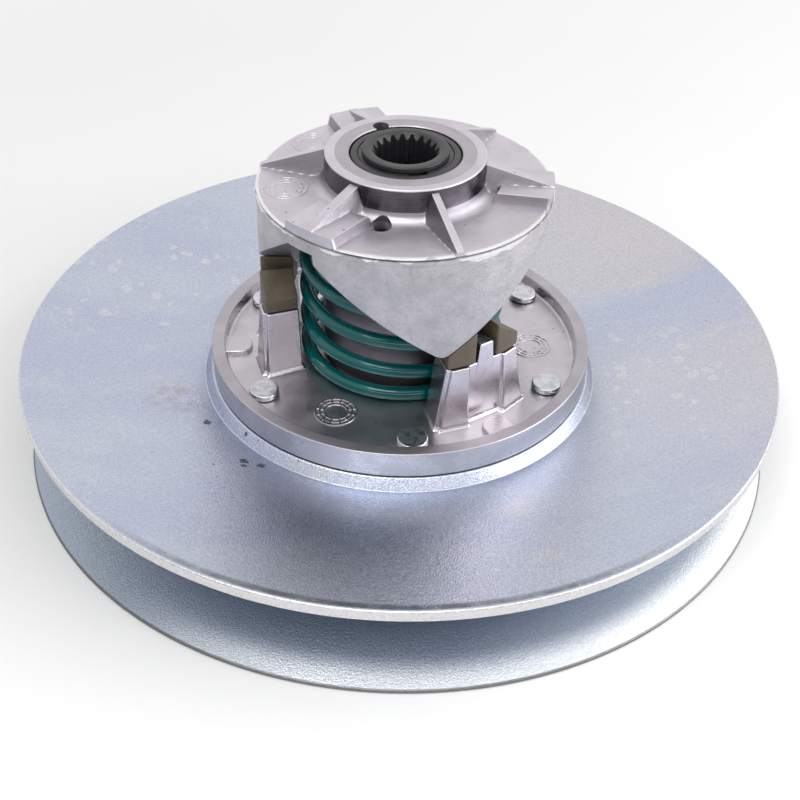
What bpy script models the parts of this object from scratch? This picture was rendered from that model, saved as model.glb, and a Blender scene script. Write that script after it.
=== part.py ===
"""Driven pulley of a belt transmission, lying on its fixed sheave.

The shaft axis is +Z and the rim of the fixed sheave stands on z = 0.
The movable half (sheave, cast hub, shoes) climbs the cam's ramps: it rises
along the post and turns about it at the same time, against the spring.
Azimuths are counted from -Y, counter-clockwise seen from above.
"""
import math

import bmesh
import bpy
from mathutils import Vector

# Fit between neighbouring pieces
CLEARANCE = 0.0003

# Sheaves
SHEAVE_RADIUS = 0.134
BELT_FACE_DEGREES = 11.5
SHEET_THICKNESS = 0.0041
GROOVE_ROOT_GAP = 0.00416
FIXED_RIM_EDGE = 0.0013
COLLAR_HEIGHT = 0.0039
COLLAR_RUN = 0.0025
COLLAR_MARGIN = 0.0005

# Splined post
SPLINE_ROOT_RADIUS = 0.01095
SPLINE_DEPTH = 0.0011
SPLINE_TEETH = 20
POST_WALL = 0.0034
POST_PROUD = 0.0024
POST_CHAMFER = 0.0006

# Fixed hub under the lower sheave
FIXED_HUB_WALL = 0.010
FIXED_HUB_RISE = 0.001
FIXED_FLANGE_THICKNESS = 0.004
FIXED_RIVET_INSET = 0.020
FIXED_FLANGE_MARGIN = 0.010

# Cast slider hub
BUSHING_WALL = 0.00235
BUSHING_LENGTH = 0.0115
BUSHING_INSET = 0.0005
BOSS_WALL = 0.0102
BOSS_HEIGHT = 0.0305
SPIGOT_STEP = 0.0079
SPIGOT_DEPTH = 0.0067
BOSS_DROP = 0.0033
FLANGE_THICKNESS = 0.0048
RING_HEIGHT = 0.0092
RING_WIDTH = 0.0045
RING_DRAFT = 0.0004
PAD_WIDTH = 0.010
PAD_HEIGHT = 0.0015
PAD_REACH = 0.0097

# Towers of the slider hub
TOWER_COUNT = 3
TOWER_AZIMUTH_DEGREES = 18.7
TOWER_GAP = 0.00205
TOWER_HEIGHT = 0.023
BUTTRESS_DEPTH = 0.0142
BUTTRESS_DRAFT = 0.0017
BUTTRESS_FOOT_DEGREES = 21.3
BUTTRESS_TOP_DEGREES = 16.9
BUTTRESS_INNER_DEGREES = 8.2
WEB_DEPTH = 0.0119
WEB_DRAFT = 0.0005
WEB_RISE = 0.007
WEB_HALF_DEGREES = 4.1
STEP_DEGREES = 0.3
ROOT_OVERLAP = 0.001

# Shoes
SHOE_DEPTH = 0.0115
SHOE_INSET = 0.0002
SHOE_FOOT_DEGREES = 16.7
SHOE_END_HEIGHT = 0.005
SHOE_STATIONS = 4

# Cam
LEAD = 0.0341
LOBE_DEPTH = 0.0113
LOBE_TIP_BLUNT = 0.0008
APEX_DROP = 0.0022
CAM_RIM_LIP = 0.00025
CAM_RIM_HEIGHT = 0.0012
CAM_PLATE_THICKNESS = 0.003
HUB_RING_HEIGHT = 0.0108
HUB_RING_WALL = 0.008
HUB_FILLET = 0.0035
HUB_DROP = 0.0048
COUNTERBORE_DEPTH = 0.0085
RIB_WIDTH = 0.0036
RIB_TOP_DROP = 0.002
RIB_RIM_HEIGHT = 0.0006
RIB_RIM_INSET = 0.0008
NARROW_RIB_DEGREES = 4.7
WIDE_RIB_DEGREES = -53.3
WIDE_PAD_WIDTH = 0.0185
WIDE_PAD_HEIGHT = 0.0034
WIDE_PAD_FALL = 0.0003
WIDE_PAD_GAP = 0.0052
WIDE_PAD_RIM_INSET = 0.0003
WIDE_PAD_STATIONS = 5
SIGHT_HOLE_DEGREES = -29.6
SIGHT_HOLE_RADIUS = 0.0034
SIGHT_HOLE_GAP = 0.0043

# Retaining ring, snap ring and lock pin
RETAINER_WALL = 0.0037
RETAINER_DROP = 0.0006
RETAINER_LEDGE = 0.0020
RETAINER_EDGE = 0.0010
SNAP_RING_WIDTH = 0.0019
SNAP_RING_THICKNESS = 0.001
SNAP_RING_SEAT = 0.0005
SNAP_RING_GAP_DEGREES = 24.0
LOCK_PIN_RADIUS = 0.0024
LOCK_PIN_OFFSET = 0.0014
LOCK_PIN_DEGREES = -170.6
LOCK_PIN_RECESS = 0.0028

# Spring
WIRE_DIAMETER = 0.0049
SPRING_BORE_GAP = 0.00335
SPRING_TURNS = 5.5
SPRING_DEAD_TURNS = 0.3
SPRING_EASE_TURNS = 0.3
SPRING_START_DEGREES = 89.2
TANG_BEND = 0.003
SPRING_STEPS = 24
TANG_STEPS = 4

# Rivets
RIVETS = 6
RIVET_SHANK_RADIUS = 0.003
RIVET_HEAD_RADIUS = 0.0051
RIVET_HEAD_HEIGHT = 0.0022
RIVET_HEAD_EDGE = 0.0004
RIVET_TAIL_RADIUS = 0.0045
RIVET_INSET = 0.0044
RIVET_TO_RING = 0.0066
RIVET_OFFSET_DEGREES = 30.0

# Facets
ROUND_STEPS = 60
HUB_STEPS = 36
HOLE_STEPS = 10
CAM_STEPS = 60
SPLINE_STEPS_PER_TOOTH = 4
PAD_ARC_STEPS = 8
SHARP_DEGREES = 32.0
FLAT_RADIANS = 0.0001
ARC_SAG = 1 - math.cos(math.radians(45))

# Radii, from the spline outwards
post_radius = SPLINE_ROOT_RADIUS + POST_WALL
bore_radius = post_radius + CLEARANCE
bushing_radius = bore_radius + BUSHING_WALL
boss_bore = bushing_radius + CLEARANCE
boss_radius = boss_bore + BOSS_WALL
coil_radius = boss_radius + SPRING_BORE_GAP + WIRE_DIAMETER / 2
tower_inner = coil_radius + WIRE_DIAMETER / 2 + TOWER_GAP
buttress_radius = tower_inner + BUTTRESS_DEPTH
web_radius = tower_inner + WEB_DEPTH
shoe_inner = tower_inner + SHOE_INSET
shoe_outer = shoe_inner + SHOE_DEPTH
lobe_outer = shoe_inner + LOBE_DEPTH
cam_radius = lobe_outer + CAM_RIM_LIP
spigot_radius = tower_inner + SPIGOT_STEP
rivet_circle = buttress_radius + RIVET_INSET
ring_inner = rivet_circle + RIVET_TO_RING
skirt_radius = ring_inner + RING_WIDTH
collar_top_radius = skirt_radius + COLLAR_MARGIN
collar_foot_radius = collar_top_radius + COLLAR_RUN
retainer_radius = bore_radius + RETAINER_WALL
counterbore_radius = retainer_radius + CLEARANCE
hub_ring_radius = counterbore_radius + HUB_RING_WALL
fixed_hub_radius = bore_radius + FIXED_HUB_WALL
fixed_rivet_circle = fixed_hub_radius + FIXED_RIVET_INSET
fixed_flange_radius = fixed_rivet_circle + FIXED_FLANGE_MARGIN

# Heights, from the lower rim upwards, with the groove closed
belt_slope = math.tan(math.radians(BELT_FACE_DEGREES))
fixed_land = FIXED_RIM_EDGE + belt_slope * (SHEAVE_RADIUS - collar_foot_radius)
collar_foot = fixed_land + GROOVE_ROOT_GAP + SHEET_THICKNESS
movable_rim_top = collar_foot + belt_slope * (SHEAVE_RADIUS - collar_foot_radius)
movable_rim = movable_rim_top - SHEET_THICKNESS
land_top = collar_foot + COLLAR_HEIGHT
flange_bottom = land_top + CLEARANCE
hub_floor = flange_bottom + FLANGE_THICKNESS
ring_top = flange_bottom + RING_HEIGHT
spigot_bottom = flange_bottom - SPIGOT_DEPTH
boss_bottom = spigot_bottom - BOSS_DROP
boss_top = hub_floor + BOSS_HEIGHT
shoulder_top = boss_bottom - CLEARANCE
seat = hub_floor + TOWER_HEIGHT
web_top = seat + WEB_RISE
shoe_bottom = seat + CLEARANCE

# Ramps: helicoids that rise by LEAD for each radian of azimuth
lobe_pitch = 2 * math.pi / TOWER_COUNT
tower_azimuth = math.radians(TOWER_AZIMUTH_DEGREES)
shoe_foot_azimuth = math.radians(SHOE_FOOT_DEGREES)
ramp_gap = CLEARANCE * math.hypot(1, LEAD / shoe_inner)
shoe_peak = shoe_bottom + SHOE_END_HEIGHT + LEAD * shoe_foot_azimuth
ramp_root = shoe_peak + ramp_gap - LEAD * tower_azimuth
cam_roof = ramp_root + LEAD * lobe_pitch / 2
plate_top = cam_roof + CAM_PLATE_THICKNESS
hub_ring_top = plate_top + HUB_RING_HEIGHT
counterbore_floor = hub_ring_top - COUNTERBORE_DEPTH
post_top = hub_ring_top + POST_PROUD
retainer_bottom = counterbore_floor + CLEARANCE
retainer_top = hub_ring_top - RETAINER_DROP
retainer_ledge = retainer_top - RETAINER_LEDGE
snap_ring_bottom = retainer_ledge + CLEARANCE
snap_ring_top = snap_ring_bottom + SNAP_RING_THICKNESS


def polar(radius, azimuth, height):
    """Point at a radius and azimuth around the shaft."""
    return Vector((radius * math.sin(azimuth), -radius * math.cos(azimuth), height))


def steps_around(count):
    """Evenly spaced azimuths of one full turn."""
    return [2 * math.pi * index / count for index in range(count)]


def add_loft(bm, sections, wrap):
    """Skin equal loops of points; wrap joins the last loop to the first, otherwise the ends are capped."""
    rows = [[bm.verts.new(point) for point in section] for section in sections]
    pairs = list(zip(rows, rows[1:]))
    if wrap:
        pairs.append((rows[-1], rows[0]))
    else:
        bm.faces.new(rows[0])
        bm.faces.new(rows[-1])
    for near, far in pairs:
        for index in range(len(near)):
            after = (index + 1) % len(near)
            bm.faces.new((near[index], far[index], far[after], near[after]))


def mesh_from(name, bm):
    """Turn the working mesh into mesh data with flat faces, facing out, smooth apart from sharp edges."""
    bmesh.ops.connect_verts_nonplanar(bm, angle_limit=FLAT_RADIANS, faces=bm.faces)
    bmesh.ops.recalc_face_normals(bm, faces=bm.faces)
    mesh = bpy.data.meshes.new(name)
    bm.to_mesh(mesh)
    bm.free()
    mesh.shade_smooth()
    mesh.set_sharp_from_angle(angle=math.radians(SHARP_DEGREES))
    return mesh


def loft_mesh(name, sections, wrap):
    """Mesh of a single loft."""
    bm = bmesh.new()
    add_loft(bm, sections, wrap)
    return mesh_from(name, bm)


def turned_sections(profile, azimuths):
    """Copies of a profile of (radius, height) points at the given azimuths."""
    return [[polar(radius, azimuth, height) for radius, height in profile] for azimuth in azimuths]


def turned_mesh(name, profile, count):
    """Turned piece with a hole through it."""
    return loft_mesh(name, turned_sections(profile, steps_around(count)), True)


def add_cylinder(bm, centre, radius, bottom, top, count):
    """Upright cylinder around a point."""
    rings = []
    for height in (bottom, top):
        rings.append([Vector((centre.x, centre.y, 0)) + polar(radius, azimuth, height)
                      for azimuth in steps_around(count)])
    add_loft(bm, rings, False)


def add_radial_prism(bm, outline, sides, azimuth):
    """Upright block along a radius: outline gives its (radius, height) points at each offset in sides."""
    along = polar(1, azimuth, 0)
    across = Vector((-along.y, along.x, 0))
    sections = []
    for side in sides:
        sections.append([along * radius + across * side + Vector((0, 0, height))
                         for radius, height in outline(side)])
    add_loft(bm, sections, False)


def make_material(name, colour, roughness, metallic):
    """Plain surface with its colour, roughness and metallic value."""
    material = bpy.data.materials.new(name)
    material.use_nodes = True
    shader = material.node_tree.nodes["Principled BSDF"]
    shader.inputs["Base Color"].default_value = (*colour, 1)
    shader.inputs["Roughness"].default_value = roughness
    shader.inputs["Metallic"].default_value = metallic
    return material


def place(name, data, material, parent):
    """Named piece on its carrier."""
    piece = bpy.data.objects.new(name, data)
    piece.data.materials.clear()
    piece.data.materials.append(material)
    piece.parent = parent
    bpy.context.collection.objects.link(piece)
    return piece


def helper(name, mesh):
    """Guide used only by Boolean modifiers."""
    guide = bpy.data.objects.new(name, mesh)
    guide.hide_render = True
    guide.display_type = "WIRE"
    bpy.context.collection.objects.link(guide)
    return guide


def combine(piece, guide, operation):
    """Add or cut a guide."""
    modifier = piece.modifiers.new(guide.name, "BOOLEAN")
    modifier.operation = operation
    modifier.solver = "EXACT"
    modifier.object = guide


def carrier(name):
    """Empty on the shaft axis that carries one half."""
    empty = bpy.data.objects.new(name, None)
    bpy.context.collection.objects.link(empty)
    return empty


def rivet_azimuths():
    """Azimuths of one circle of rivets."""
    first = tower_azimuth + math.radians(RIVET_OFFSET_DEGREES)
    return [first + azimuth for azimuth in steps_around(RIVETS)]


def rivet_profile(bottom, top):
    """Turned outline of a rivet that clamps the layers from bottom to top."""
    tail = bottom - CLEARANCE
    head = top + CLEARANCE
    head_top = head + RIVET_HEAD_HEIGHT
    return [
        (RIVET_TAIL_RADIUS, tail - RIVET_HEAD_HEIGHT),
        (RIVET_TAIL_RADIUS, tail),
        (RIVET_SHANK_RADIUS, tail),
        (RIVET_SHANK_RADIUS, head),
        (RIVET_HEAD_RADIUS, head),
        (RIVET_HEAD_RADIUS, head_top - RIVET_HEAD_EDGE),
        (RIVET_HEAD_RADIUS - RIVET_HEAD_EDGE, head_top),
    ]


def place_rivets(name, circle, bottom, top, material, parent):
    """One circle of rivets that share a mesh, each a stack of rings capped at both ends."""
    rings = []
    for radius, height in rivet_profile(bottom, top):
        rings.append([polar(radius, azimuth, height) for azimuth in steps_around(HOLE_STEPS)])
    mesh = loft_mesh(name, rings, False)
    for number, azimuth in enumerate(rivet_azimuths(), start=1):
        rivet = place(f"{name}_{number}", mesh, material, parent)
        rivet.location = polar(circle, azimuth, 0)


def rivet_holes(name, circle, bottom, top):
    """Guide with one shank hole for each rivet."""
    bm = bmesh.new()
    for azimuth in rivet_azimuths():
        add_cylinder(bm, polar(circle, azimuth, 0), RIVET_SHANK_RADIUS + CLEARANCE, bottom, top, HOLE_STEPS)
    return helper(name, mesh_from(name, bm))


def ramp_height(azimuth):
    """Underside of the cam's wall: a ramp to both sides of each lobe, blunt at the tip and at the apex."""
    turn = azimuth % lobe_pitch
    away = min(turn, lobe_pitch - turn)
    height = ramp_root + LEAD * away
    return min(max(height, ramp_root + LOBE_TIP_BLUNT), cam_roof - APEX_DROP)


def cam_azimuths():
    """Even azimuths, with extra ones where the lobes turn blunt."""
    tip = LOBE_TIP_BLUNT / LEAD
    apex = lobe_pitch / 2 - APEX_DROP / LEAD
    marks = set(steps_around(CAM_STEPS))
    for lobe in steps_around(TOWER_COUNT):
        for away in (tip, apex):
            marks.add((lobe + away) % (2 * math.pi))
            marks.add((lobe - away) % (2 * math.pi))
    return sorted(marks)


def cam_section(azimuth):
    """Cross-section of the cam at one azimuth."""
    ramp = ramp_height(azimuth)
    rim = plate_top - CAM_RIM_HEIGHT
    profile = [
        (bore_radius, cam_roof - HUB_DROP),
        (bore_radius, counterbore_floor),
        (counterbore_radius, counterbore_floor),
        (counterbore_radius, hub_ring_top),
        (hub_ring_radius, hub_ring_top),
        (hub_ring_radius, plate_top + HUB_FILLET),
        (hub_ring_radius + HUB_FILLET * ARC_SAG, plate_top + HUB_FILLET * ARC_SAG),
        (hub_ring_radius + HUB_FILLET, plate_top),
        (cam_radius - CAM_RIM_HEIGHT, plate_top),
        (cam_radius, rim),
        (cam_radius, rim - CAM_RIM_HEIGHT),
        (lobe_outer, rim - CAM_RIM_HEIGHT - CAM_RIM_LIP),
        (lobe_outer, ramp),
        (shoe_inner, ramp),
        (shoe_inner - CLEARANCE, cam_roof),
        (hub_ring_radius, cam_roof),
        (hub_ring_radius - HUB_FILLET, cam_roof - HUB_DROP),
    ]
    return [polar(radius, azimuth, height) for radius, height in profile]


def add_cam_rib(bm, azimuth, rim_height):
    """Rib from the hub ring down to a height above the plate at the rim."""
    outline = [
        (hub_ring_radius - ROOT_OVERLAP, plate_top - ROOT_OVERLAP),
        (cam_radius - RIB_RIM_INSET, plate_top - ROOT_OVERLAP),
        (cam_radius - RIB_RIM_INSET, plate_top + rim_height),
        (hub_ring_radius, hub_ring_top - RIB_TOP_DROP),
        (hub_ring_radius - ROOT_OVERLAP, hub_ring_top - RIB_TOP_DROP),
    ]
    add_radial_prism(bm, lambda side: outline, (-RIB_WIDTH / 2, RIB_WIDTH / 2), azimuth)


def cam_ribs():
    """Six ribs on top of the cam; every second one runs out on a wide pad."""
    bm = bmesh.new()
    pad_top = WIDE_PAD_HEIGHT - 2 * WIDE_PAD_FALL
    for lobe in steps_around(TOWER_COUNT):
        add_cam_rib(bm, lobe + math.radians(NARROW_RIB_DEGREES), RIB_RIM_HEIGHT)
        add_cam_rib(bm, lobe + math.radians(WIDE_RIB_DEGREES), pad_top)
    return helper("cam_ribs", mesh_from("cam_ribs", bm))


def wide_pad_outline(side):
    """Cross-section of a wide pad, whose outer end follows the cam's rim."""
    inner = hub_ring_radius + WIDE_PAD_GAP
    outer = math.sqrt((cam_radius - WIDE_PAD_RIM_INSET) ** 2 - side ** 2)
    return [
        (inner, plate_top - ROOT_OVERLAP),
        (outer, plate_top - ROOT_OVERLAP),
        (outer, plate_top + WIDE_PAD_HEIGHT - WIDE_PAD_FALL),
        (inner, plate_top + WIDE_PAD_HEIGHT),
    ]


def cam_pads():
    """Wide pads under every second rib."""
    bm = bmesh.new()
    last = WIDE_PAD_STATIONS - 1
    sides = [WIDE_PAD_WIDTH * (index / last - 0.5) for index in range(WIDE_PAD_STATIONS)]
    for lobe in steps_around(TOWER_COUNT):
        add_radial_prism(bm, wide_pad_outline, sides, lobe + math.radians(WIDE_RIB_DEGREES))
    return helper("cam_pads", mesh_from("cam_pads", bm))


def sight_hole():
    """Hole through the cam's plate above the spring."""
    centre = polar(hub_ring_radius + SIGHT_HOLE_GAP, math.radians(SIGHT_HOLE_DEGREES), 0)
    bm = bmesh.new()
    add_cylinder(bm, centre, SIGHT_HOLE_RADIUS, cam_roof - HUB_DROP, hub_ring_top, HOLE_STEPS)
    return helper("sight_hole", mesh_from("sight_hole", bm))


def lock_pin_centre():
    """Axis of the pin, astride the joint of cam and retaining ring."""
    return polar(counterbore_radius + LOCK_PIN_OFFSET, math.radians(LOCK_PIN_DEGREES), 0)


def lock_pin_hole():
    """Hole for the pin, cut into both pieces that it locks."""
    bm = bmesh.new()
    radius = LOCK_PIN_RADIUS + CLEARANCE
    add_cylinder(bm, lock_pin_centre(), radius, retainer_bottom - CLEARANCE, post_top, HOLE_STEPS)
    return helper("lock_pin_hole", mesh_from("lock_pin_hole", bm))


def tower_stations():
    """Angle and radius at the foot, angle and radius at the top, and top height, from the left end on."""
    inner = BUTTRESS_INNER_DEGREES
    buttress_top = buttress_radius - BUTTRESS_DRAFT
    web_face_top = web_radius - WEB_DRAFT
    step = inner - STEP_DEGREES
    web_foot = WEB_HALF_DEGREES + STEP_DEGREES
    left = [
        (BUTTRESS_FOOT_DEGREES, buttress_radius, BUTTRESS_TOP_DEGREES, buttress_top, seat),
        (inner, buttress_radius, inner, buttress_top, seat),
        (step, web_radius, step, web_face_top, seat),
        (web_foot, web_radius, web_foot, web_face_top, seat),
        (WEB_HALF_DEGREES, web_radius, WEB_HALF_DEGREES, web_face_top, web_top),
    ]
    stations = [(-foot, radius, -top, top_radius, height) for foot, radius, top, top_radius, height in left]
    stations.extend(reversed(left))
    return stations


def add_tower(bm, middle):
    """Tower of two buttresses and a taller web between them."""
    sections = []
    base = hub_floor - ROOT_OVERLAP
    for foot, foot_radius, top, top_radius, height in tower_stations():
        foot_azimuth = middle + math.radians(foot)
        top_azimuth = middle + math.radians(top)
        sections.append([
            polar(tower_inner, foot_azimuth, base),
            polar(foot_radius, foot_azimuth, base),
            polar(top_radius, top_azimuth, height),
            polar(tower_inner, top_azimuth, height),
        ])
    add_loft(bm, sections, False)


def add_pad(bm, azimuth):
    """Half-round pad that grows out of the ring."""
    half = PAD_WIDTH / 2
    tip = ring_inner - PAD_REACH + half
    along = polar(1, azimuth, 0)
    across = Vector((-along.y, along.x, 0))
    outline = [along * (ring_inner + ROOT_OVERLAP) + across * half]
    for index in range(PAD_ARC_STEPS + 1):
        angle = math.pi * index / PAD_ARC_STEPS
        outline.append(along * (tip - half * math.sin(angle)) + across * half * math.cos(angle))
    outline.append(along * (ring_inner + ROOT_OVERLAP) - across * half)
    rings = []
    for height in (hub_floor - ROOT_OVERLAP, hub_floor + PAD_HEIGHT):
        rings.append([point + Vector((0, 0, height)) for point in outline])
    add_loft(bm, rings, False)


def towers_and_pads():
    """Everything that stands on the slider hub's floor."""
    bm = bmesh.new()
    for turn in steps_around(TOWER_COUNT):
        add_tower(bm, turn + tower_azimuth)
        add_pad(bm, turn + tower_azimuth)
    return helper("towers", mesh_from("towers", bm))


def coil_rise():
    """Share of the spring's rise reached at each step of its turns, flat at both ends."""
    count = round(SPRING_TURNS * SPRING_STEPS)
    shares = [0.0]
    for index in range(count):
        turn = (index + 0.5) / SPRING_STEPS
        from_end = min(turn, SPRING_TURNS - turn)
        weight = (from_end - SPRING_DEAD_TURNS) / SPRING_EASE_TURNS
        shares.append(shares[-1] + min(max(weight, 0), 1))
    return [share / shares[-1] for share in shares]


def tang_points(end, ahead, up):
    """Wire that leaves a coil's end along ahead, bends to up and runs straight for one diameter."""
    points = []
    for index in range(1, TANG_STEPS + 1):
        angle = math.pi / 2 * index / TANG_STEPS
        points.append(end + ahead * TANG_BEND * math.sin(angle) + up * TANG_BEND * (1 - math.cos(angle)))
    points.append(points[-1] + up * WIRE_DIAMETER)
    return points


def spring_points():
    """Centre line of the left-hand coil with an upright tang at each end."""
    low = hub_floor + CLEARANCE + WIRE_DIAMETER / 2
    high = cam_roof - CLEARANCE - WIRE_DIAMETER - TANG_BEND
    start = math.radians(SPRING_START_DEGREES)
    coil = []
    for index, share in enumerate(coil_rise()):
        azimuth = start - 2 * math.pi * index / SPRING_STEPS
        coil.append(polar(coil_radius, azimuth, low + (high - low) * share))
    finish = start - 2 * math.pi * (len(coil) - 1) / SPRING_STEPS
    backwards = polar(1, start + math.pi / 2, 0)
    onwards = polar(1, finish - math.pi / 2, 0)
    lower = tang_points(coil[0], backwards, Vector((0, 0, -1)))
    upper = tang_points(coil[-1], onwards, Vector((0, 0, 1)))
    return list(reversed(lower)) + coil + upper


def least_gap(points):
    """Smallest gap between stretches of wire that lie more than half a turn apart."""
    apart = SPRING_STEPS // 2
    nearest = min((points[first] - points[second]).length
                  for first in range(len(points)) for second in range(first + apart, len(points)))
    return nearest - WIRE_DIAMETER


def spring_curve(points):
    """Round wire along the points."""
    curve = bpy.data.curves.new("compression_spring", "CURVE")
    curve.dimensions = "3D"
    curve.bevel_depth = WIRE_DIAMETER / 2
    curve.bevel_resolution = 1
    curve.use_fill_caps = True
    spline = curve.splines.new("POLY")
    spline.points.add(len(points) - 1)
    for target, point in zip(spline.points, points):
        target.co = (*point, 1)
    return curve


def tang_pocket(points):
    """Blind hole in the slider hub for the spring's lower tang."""
    bm = bmesh.new()
    end = points[0]
    add_cylinder(bm, end, WIRE_DIAMETER / 2 + CLEARANCE, end.z - CLEARANCE, seat, HOLE_STEPS)
    return helper("tang_pocket", mesh_from("tang_pocket", bm))


def shoe_mesh(name, side):
    """Shoe on the left (-1) or right (+1) seat of the first tower, its top parallel to the ramps."""
    gap = math.degrees(CLEARANCE / shoe_inner)
    inner_end = WEB_HALF_DEGREES + STEP_DEGREES + gap
    sections = []
    for index in range(SHOE_STATIONS):
        share = index / (SHOE_STATIONS - 1)
        away = math.radians(SHOE_FOOT_DEGREES + (inner_end - SHOE_FOOT_DEGREES) * share)
        top = shoe_peak - LEAD * away
        azimuth = tower_azimuth + side * away
        sections.append([
            polar(shoe_inner, azimuth, shoe_bottom),
            polar(shoe_outer, azimuth, shoe_bottom),
            polar(shoe_outer, azimuth, top),
            polar(shoe_inner, azimuth, top),
        ])
    return loft_mesh(name, sections, False)


def fixed_sheave_mesh():
    """Lower sheave: belt face on top, rim faced flat underneath, flat land around the hub."""
    faced_radius = SHEAVE_RADIUS - max(SHEET_THICKNESS - FIXED_RIM_EDGE, 0) / belt_slope
    bore = fixed_hub_radius + CLEARANCE
    profile = [
        (SHEAVE_RADIUS, FIXED_RIM_EDGE),
        (SHEAVE_RADIUS, 0),
        (faced_radius, 0),
        (collar_foot_radius, fixed_land - SHEET_THICKNESS),
        (bore, fixed_land - SHEET_THICKNESS),
        (bore, fixed_land),
        (collar_foot_radius, fixed_land),
    ]
    return turned_mesh("fixed_sheave", profile, ROUND_STEPS)


def movable_sheave_mesh():
    """Upper sheave: belt face below, raised collar and flat land for the casting."""
    bore = spigot_radius + CLEARANCE
    drop_radius = collar_foot_radius - SHEET_THICKNESS * belt_slope
    profile = [
        (SHEAVE_RADIUS, movable_rim_top),
        (SHEAVE_RADIUS, movable_rim),
        (drop_radius, movable_rim - belt_slope * (SHEAVE_RADIUS - drop_radius)),
        (drop_radius - COLLAR_RUN, land_top - SHEET_THICKNESS),
        (bore, land_top - SHEET_THICKNESS),
        (bore, land_top),
        (collar_top_radius, land_top),
        (collar_foot_radius, collar_foot),
    ]
    return turned_mesh("movable_sheave", profile, ROUND_STEPS)


def fixed_hub_mesh():
    """Flanged hub under the lower sheave, with the shoulder that the movable half closes on."""
    flange_top = fixed_land - SHEET_THICKNESS - CLEARANCE
    profile = [
        (bore_radius, shoulder_top),
        (bore_radius, FIXED_HUB_RISE),
        (fixed_hub_radius, FIXED_HUB_RISE),
        (fixed_hub_radius, flange_top - FIXED_FLANGE_THICKNESS),
        (fixed_flange_radius, flange_top - FIXED_FLANGE_THICKNESS),
        (fixed_flange_radius, flange_top),
        (fixed_hub_radius, flange_top),
        (fixed_hub_radius, shoulder_top),
    ]
    return turned_mesh("fixed_hub", profile, HUB_STEPS)


def slider_hub_mesh():
    """Turned body of the casting: flange, ring, spigot and boss."""
    profile = [
        (boss_bore, boss_bottom),
        (boss_radius, boss_bottom),
        (boss_radius, spigot_bottom),
        (spigot_radius, spigot_bottom),
        (spigot_radius, flange_bottom),
        (skirt_radius, flange_bottom),
        (skirt_radius, ring_top),
        (ring_inner, ring_top),
        (ring_inner - RING_DRAFT, hub_floor),
        (boss_radius, hub_floor),
        (boss_radius, boss_top),
        (boss_bore, boss_top),
    ]
    return turned_mesh("slider_hub", profile, ROUND_STEPS)


def bushing_mesh(name, bottom):
    """Plain bushing between boss and post."""
    profile = [
        (bore_radius, bottom),
        (bushing_radius, bottom),
        (bushing_radius, bottom + BUSHING_LENGTH),
        (bore_radius, bottom + BUSHING_LENGTH),
    ]
    return turned_mesh(name, profile, HUB_STEPS)


def post_mesh():
    """Splined tube with a groove for the snap ring."""
    groove_radius = post_radius - SNAP_RING_SEAT - CLEARANCE
    groove_bottom = snap_ring_bottom - CLEARANCE
    groove_top = snap_ring_top + CLEARANCE
    tip = SPLINE_ROOT_RADIUS - SPLINE_DEPTH
    sections = []
    for index, azimuth in enumerate(steps_around(SPLINE_TEETH * SPLINE_STEPS_PER_TOOTH)):
        in_tooth = index % SPLINE_STEPS_PER_TOOTH < SPLINE_STEPS_PER_TOOTH / 2
        inner = tip if in_tooth else SPLINE_ROOT_RADIUS
        profile = [
            (inner, FIXED_HUB_RISE),
            (post_radius, FIXED_HUB_RISE),
            (post_radius, groove_bottom),
            (groove_radius, groove_bottom),
            (groove_radius, groove_top),
            (post_radius, groove_top),
            (post_radius, post_top - POST_CHAMFER),
            (post_radius - POST_CHAMFER, post_top),
            (inner, post_top),
        ]
        sections.append([polar(radius, azimuth, height) for radius, height in profile])
    return loft_mesh("splined_post", sections, True)


def retaining_ring_mesh():
    """Ring in the cam's counterbore, with a ledge for the snap ring and a rounded outer edge."""
    ledge_radius = post_radius + SNAP_RING_WIDTH - SNAP_RING_SEAT + CLEARANCE
    profile = [
        (bore_radius, retainer_bottom),
        (retainer_radius, retainer_bottom),
        (retainer_radius, retainer_top - RETAINER_EDGE),
        (retainer_radius - RETAINER_EDGE * ARC_SAG, retainer_top - RETAINER_EDGE * ARC_SAG),
        (retainer_radius - RETAINER_EDGE, retainer_top),
        (ledge_radius, retainer_top),
        (ledge_radius, retainer_ledge),
        (bore_radius, retainer_ledge),
    ]
    return turned_mesh("retaining_ring", profile, HUB_STEPS)


def snap_ring_mesh():
    """Split ring that sits in the post's groove."""
    inner = post_radius - SNAP_RING_SEAT
    profile = [
        (inner, snap_ring_bottom),
        (inner + SNAP_RING_WIDTH, snap_ring_bottom),
        (inner + SNAP_RING_WIDTH, snap_ring_top),
        (inner, snap_ring_top),
    ]
    half_gap = math.radians(SNAP_RING_GAP_DEGREES) / 2
    sweep = 2 * (math.pi - half_gap)
    azimuths = [half_gap + sweep * index / HUB_STEPS for index in range(HUB_STEPS + 1)]
    return loft_mesh("snap_ring", turned_sections(profile, azimuths), False)


def lock_pin_mesh():
    """Pin that keys the retaining ring to the cam."""
    bm = bmesh.new()
    top = hub_ring_top - LOCK_PIN_RECESS
    add_cylinder(bm, lock_pin_centre(), LOCK_PIN_RADIUS, retainer_bottom, top, HOLE_STEPS)
    return mesh_from("lock_pin", bm)


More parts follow.
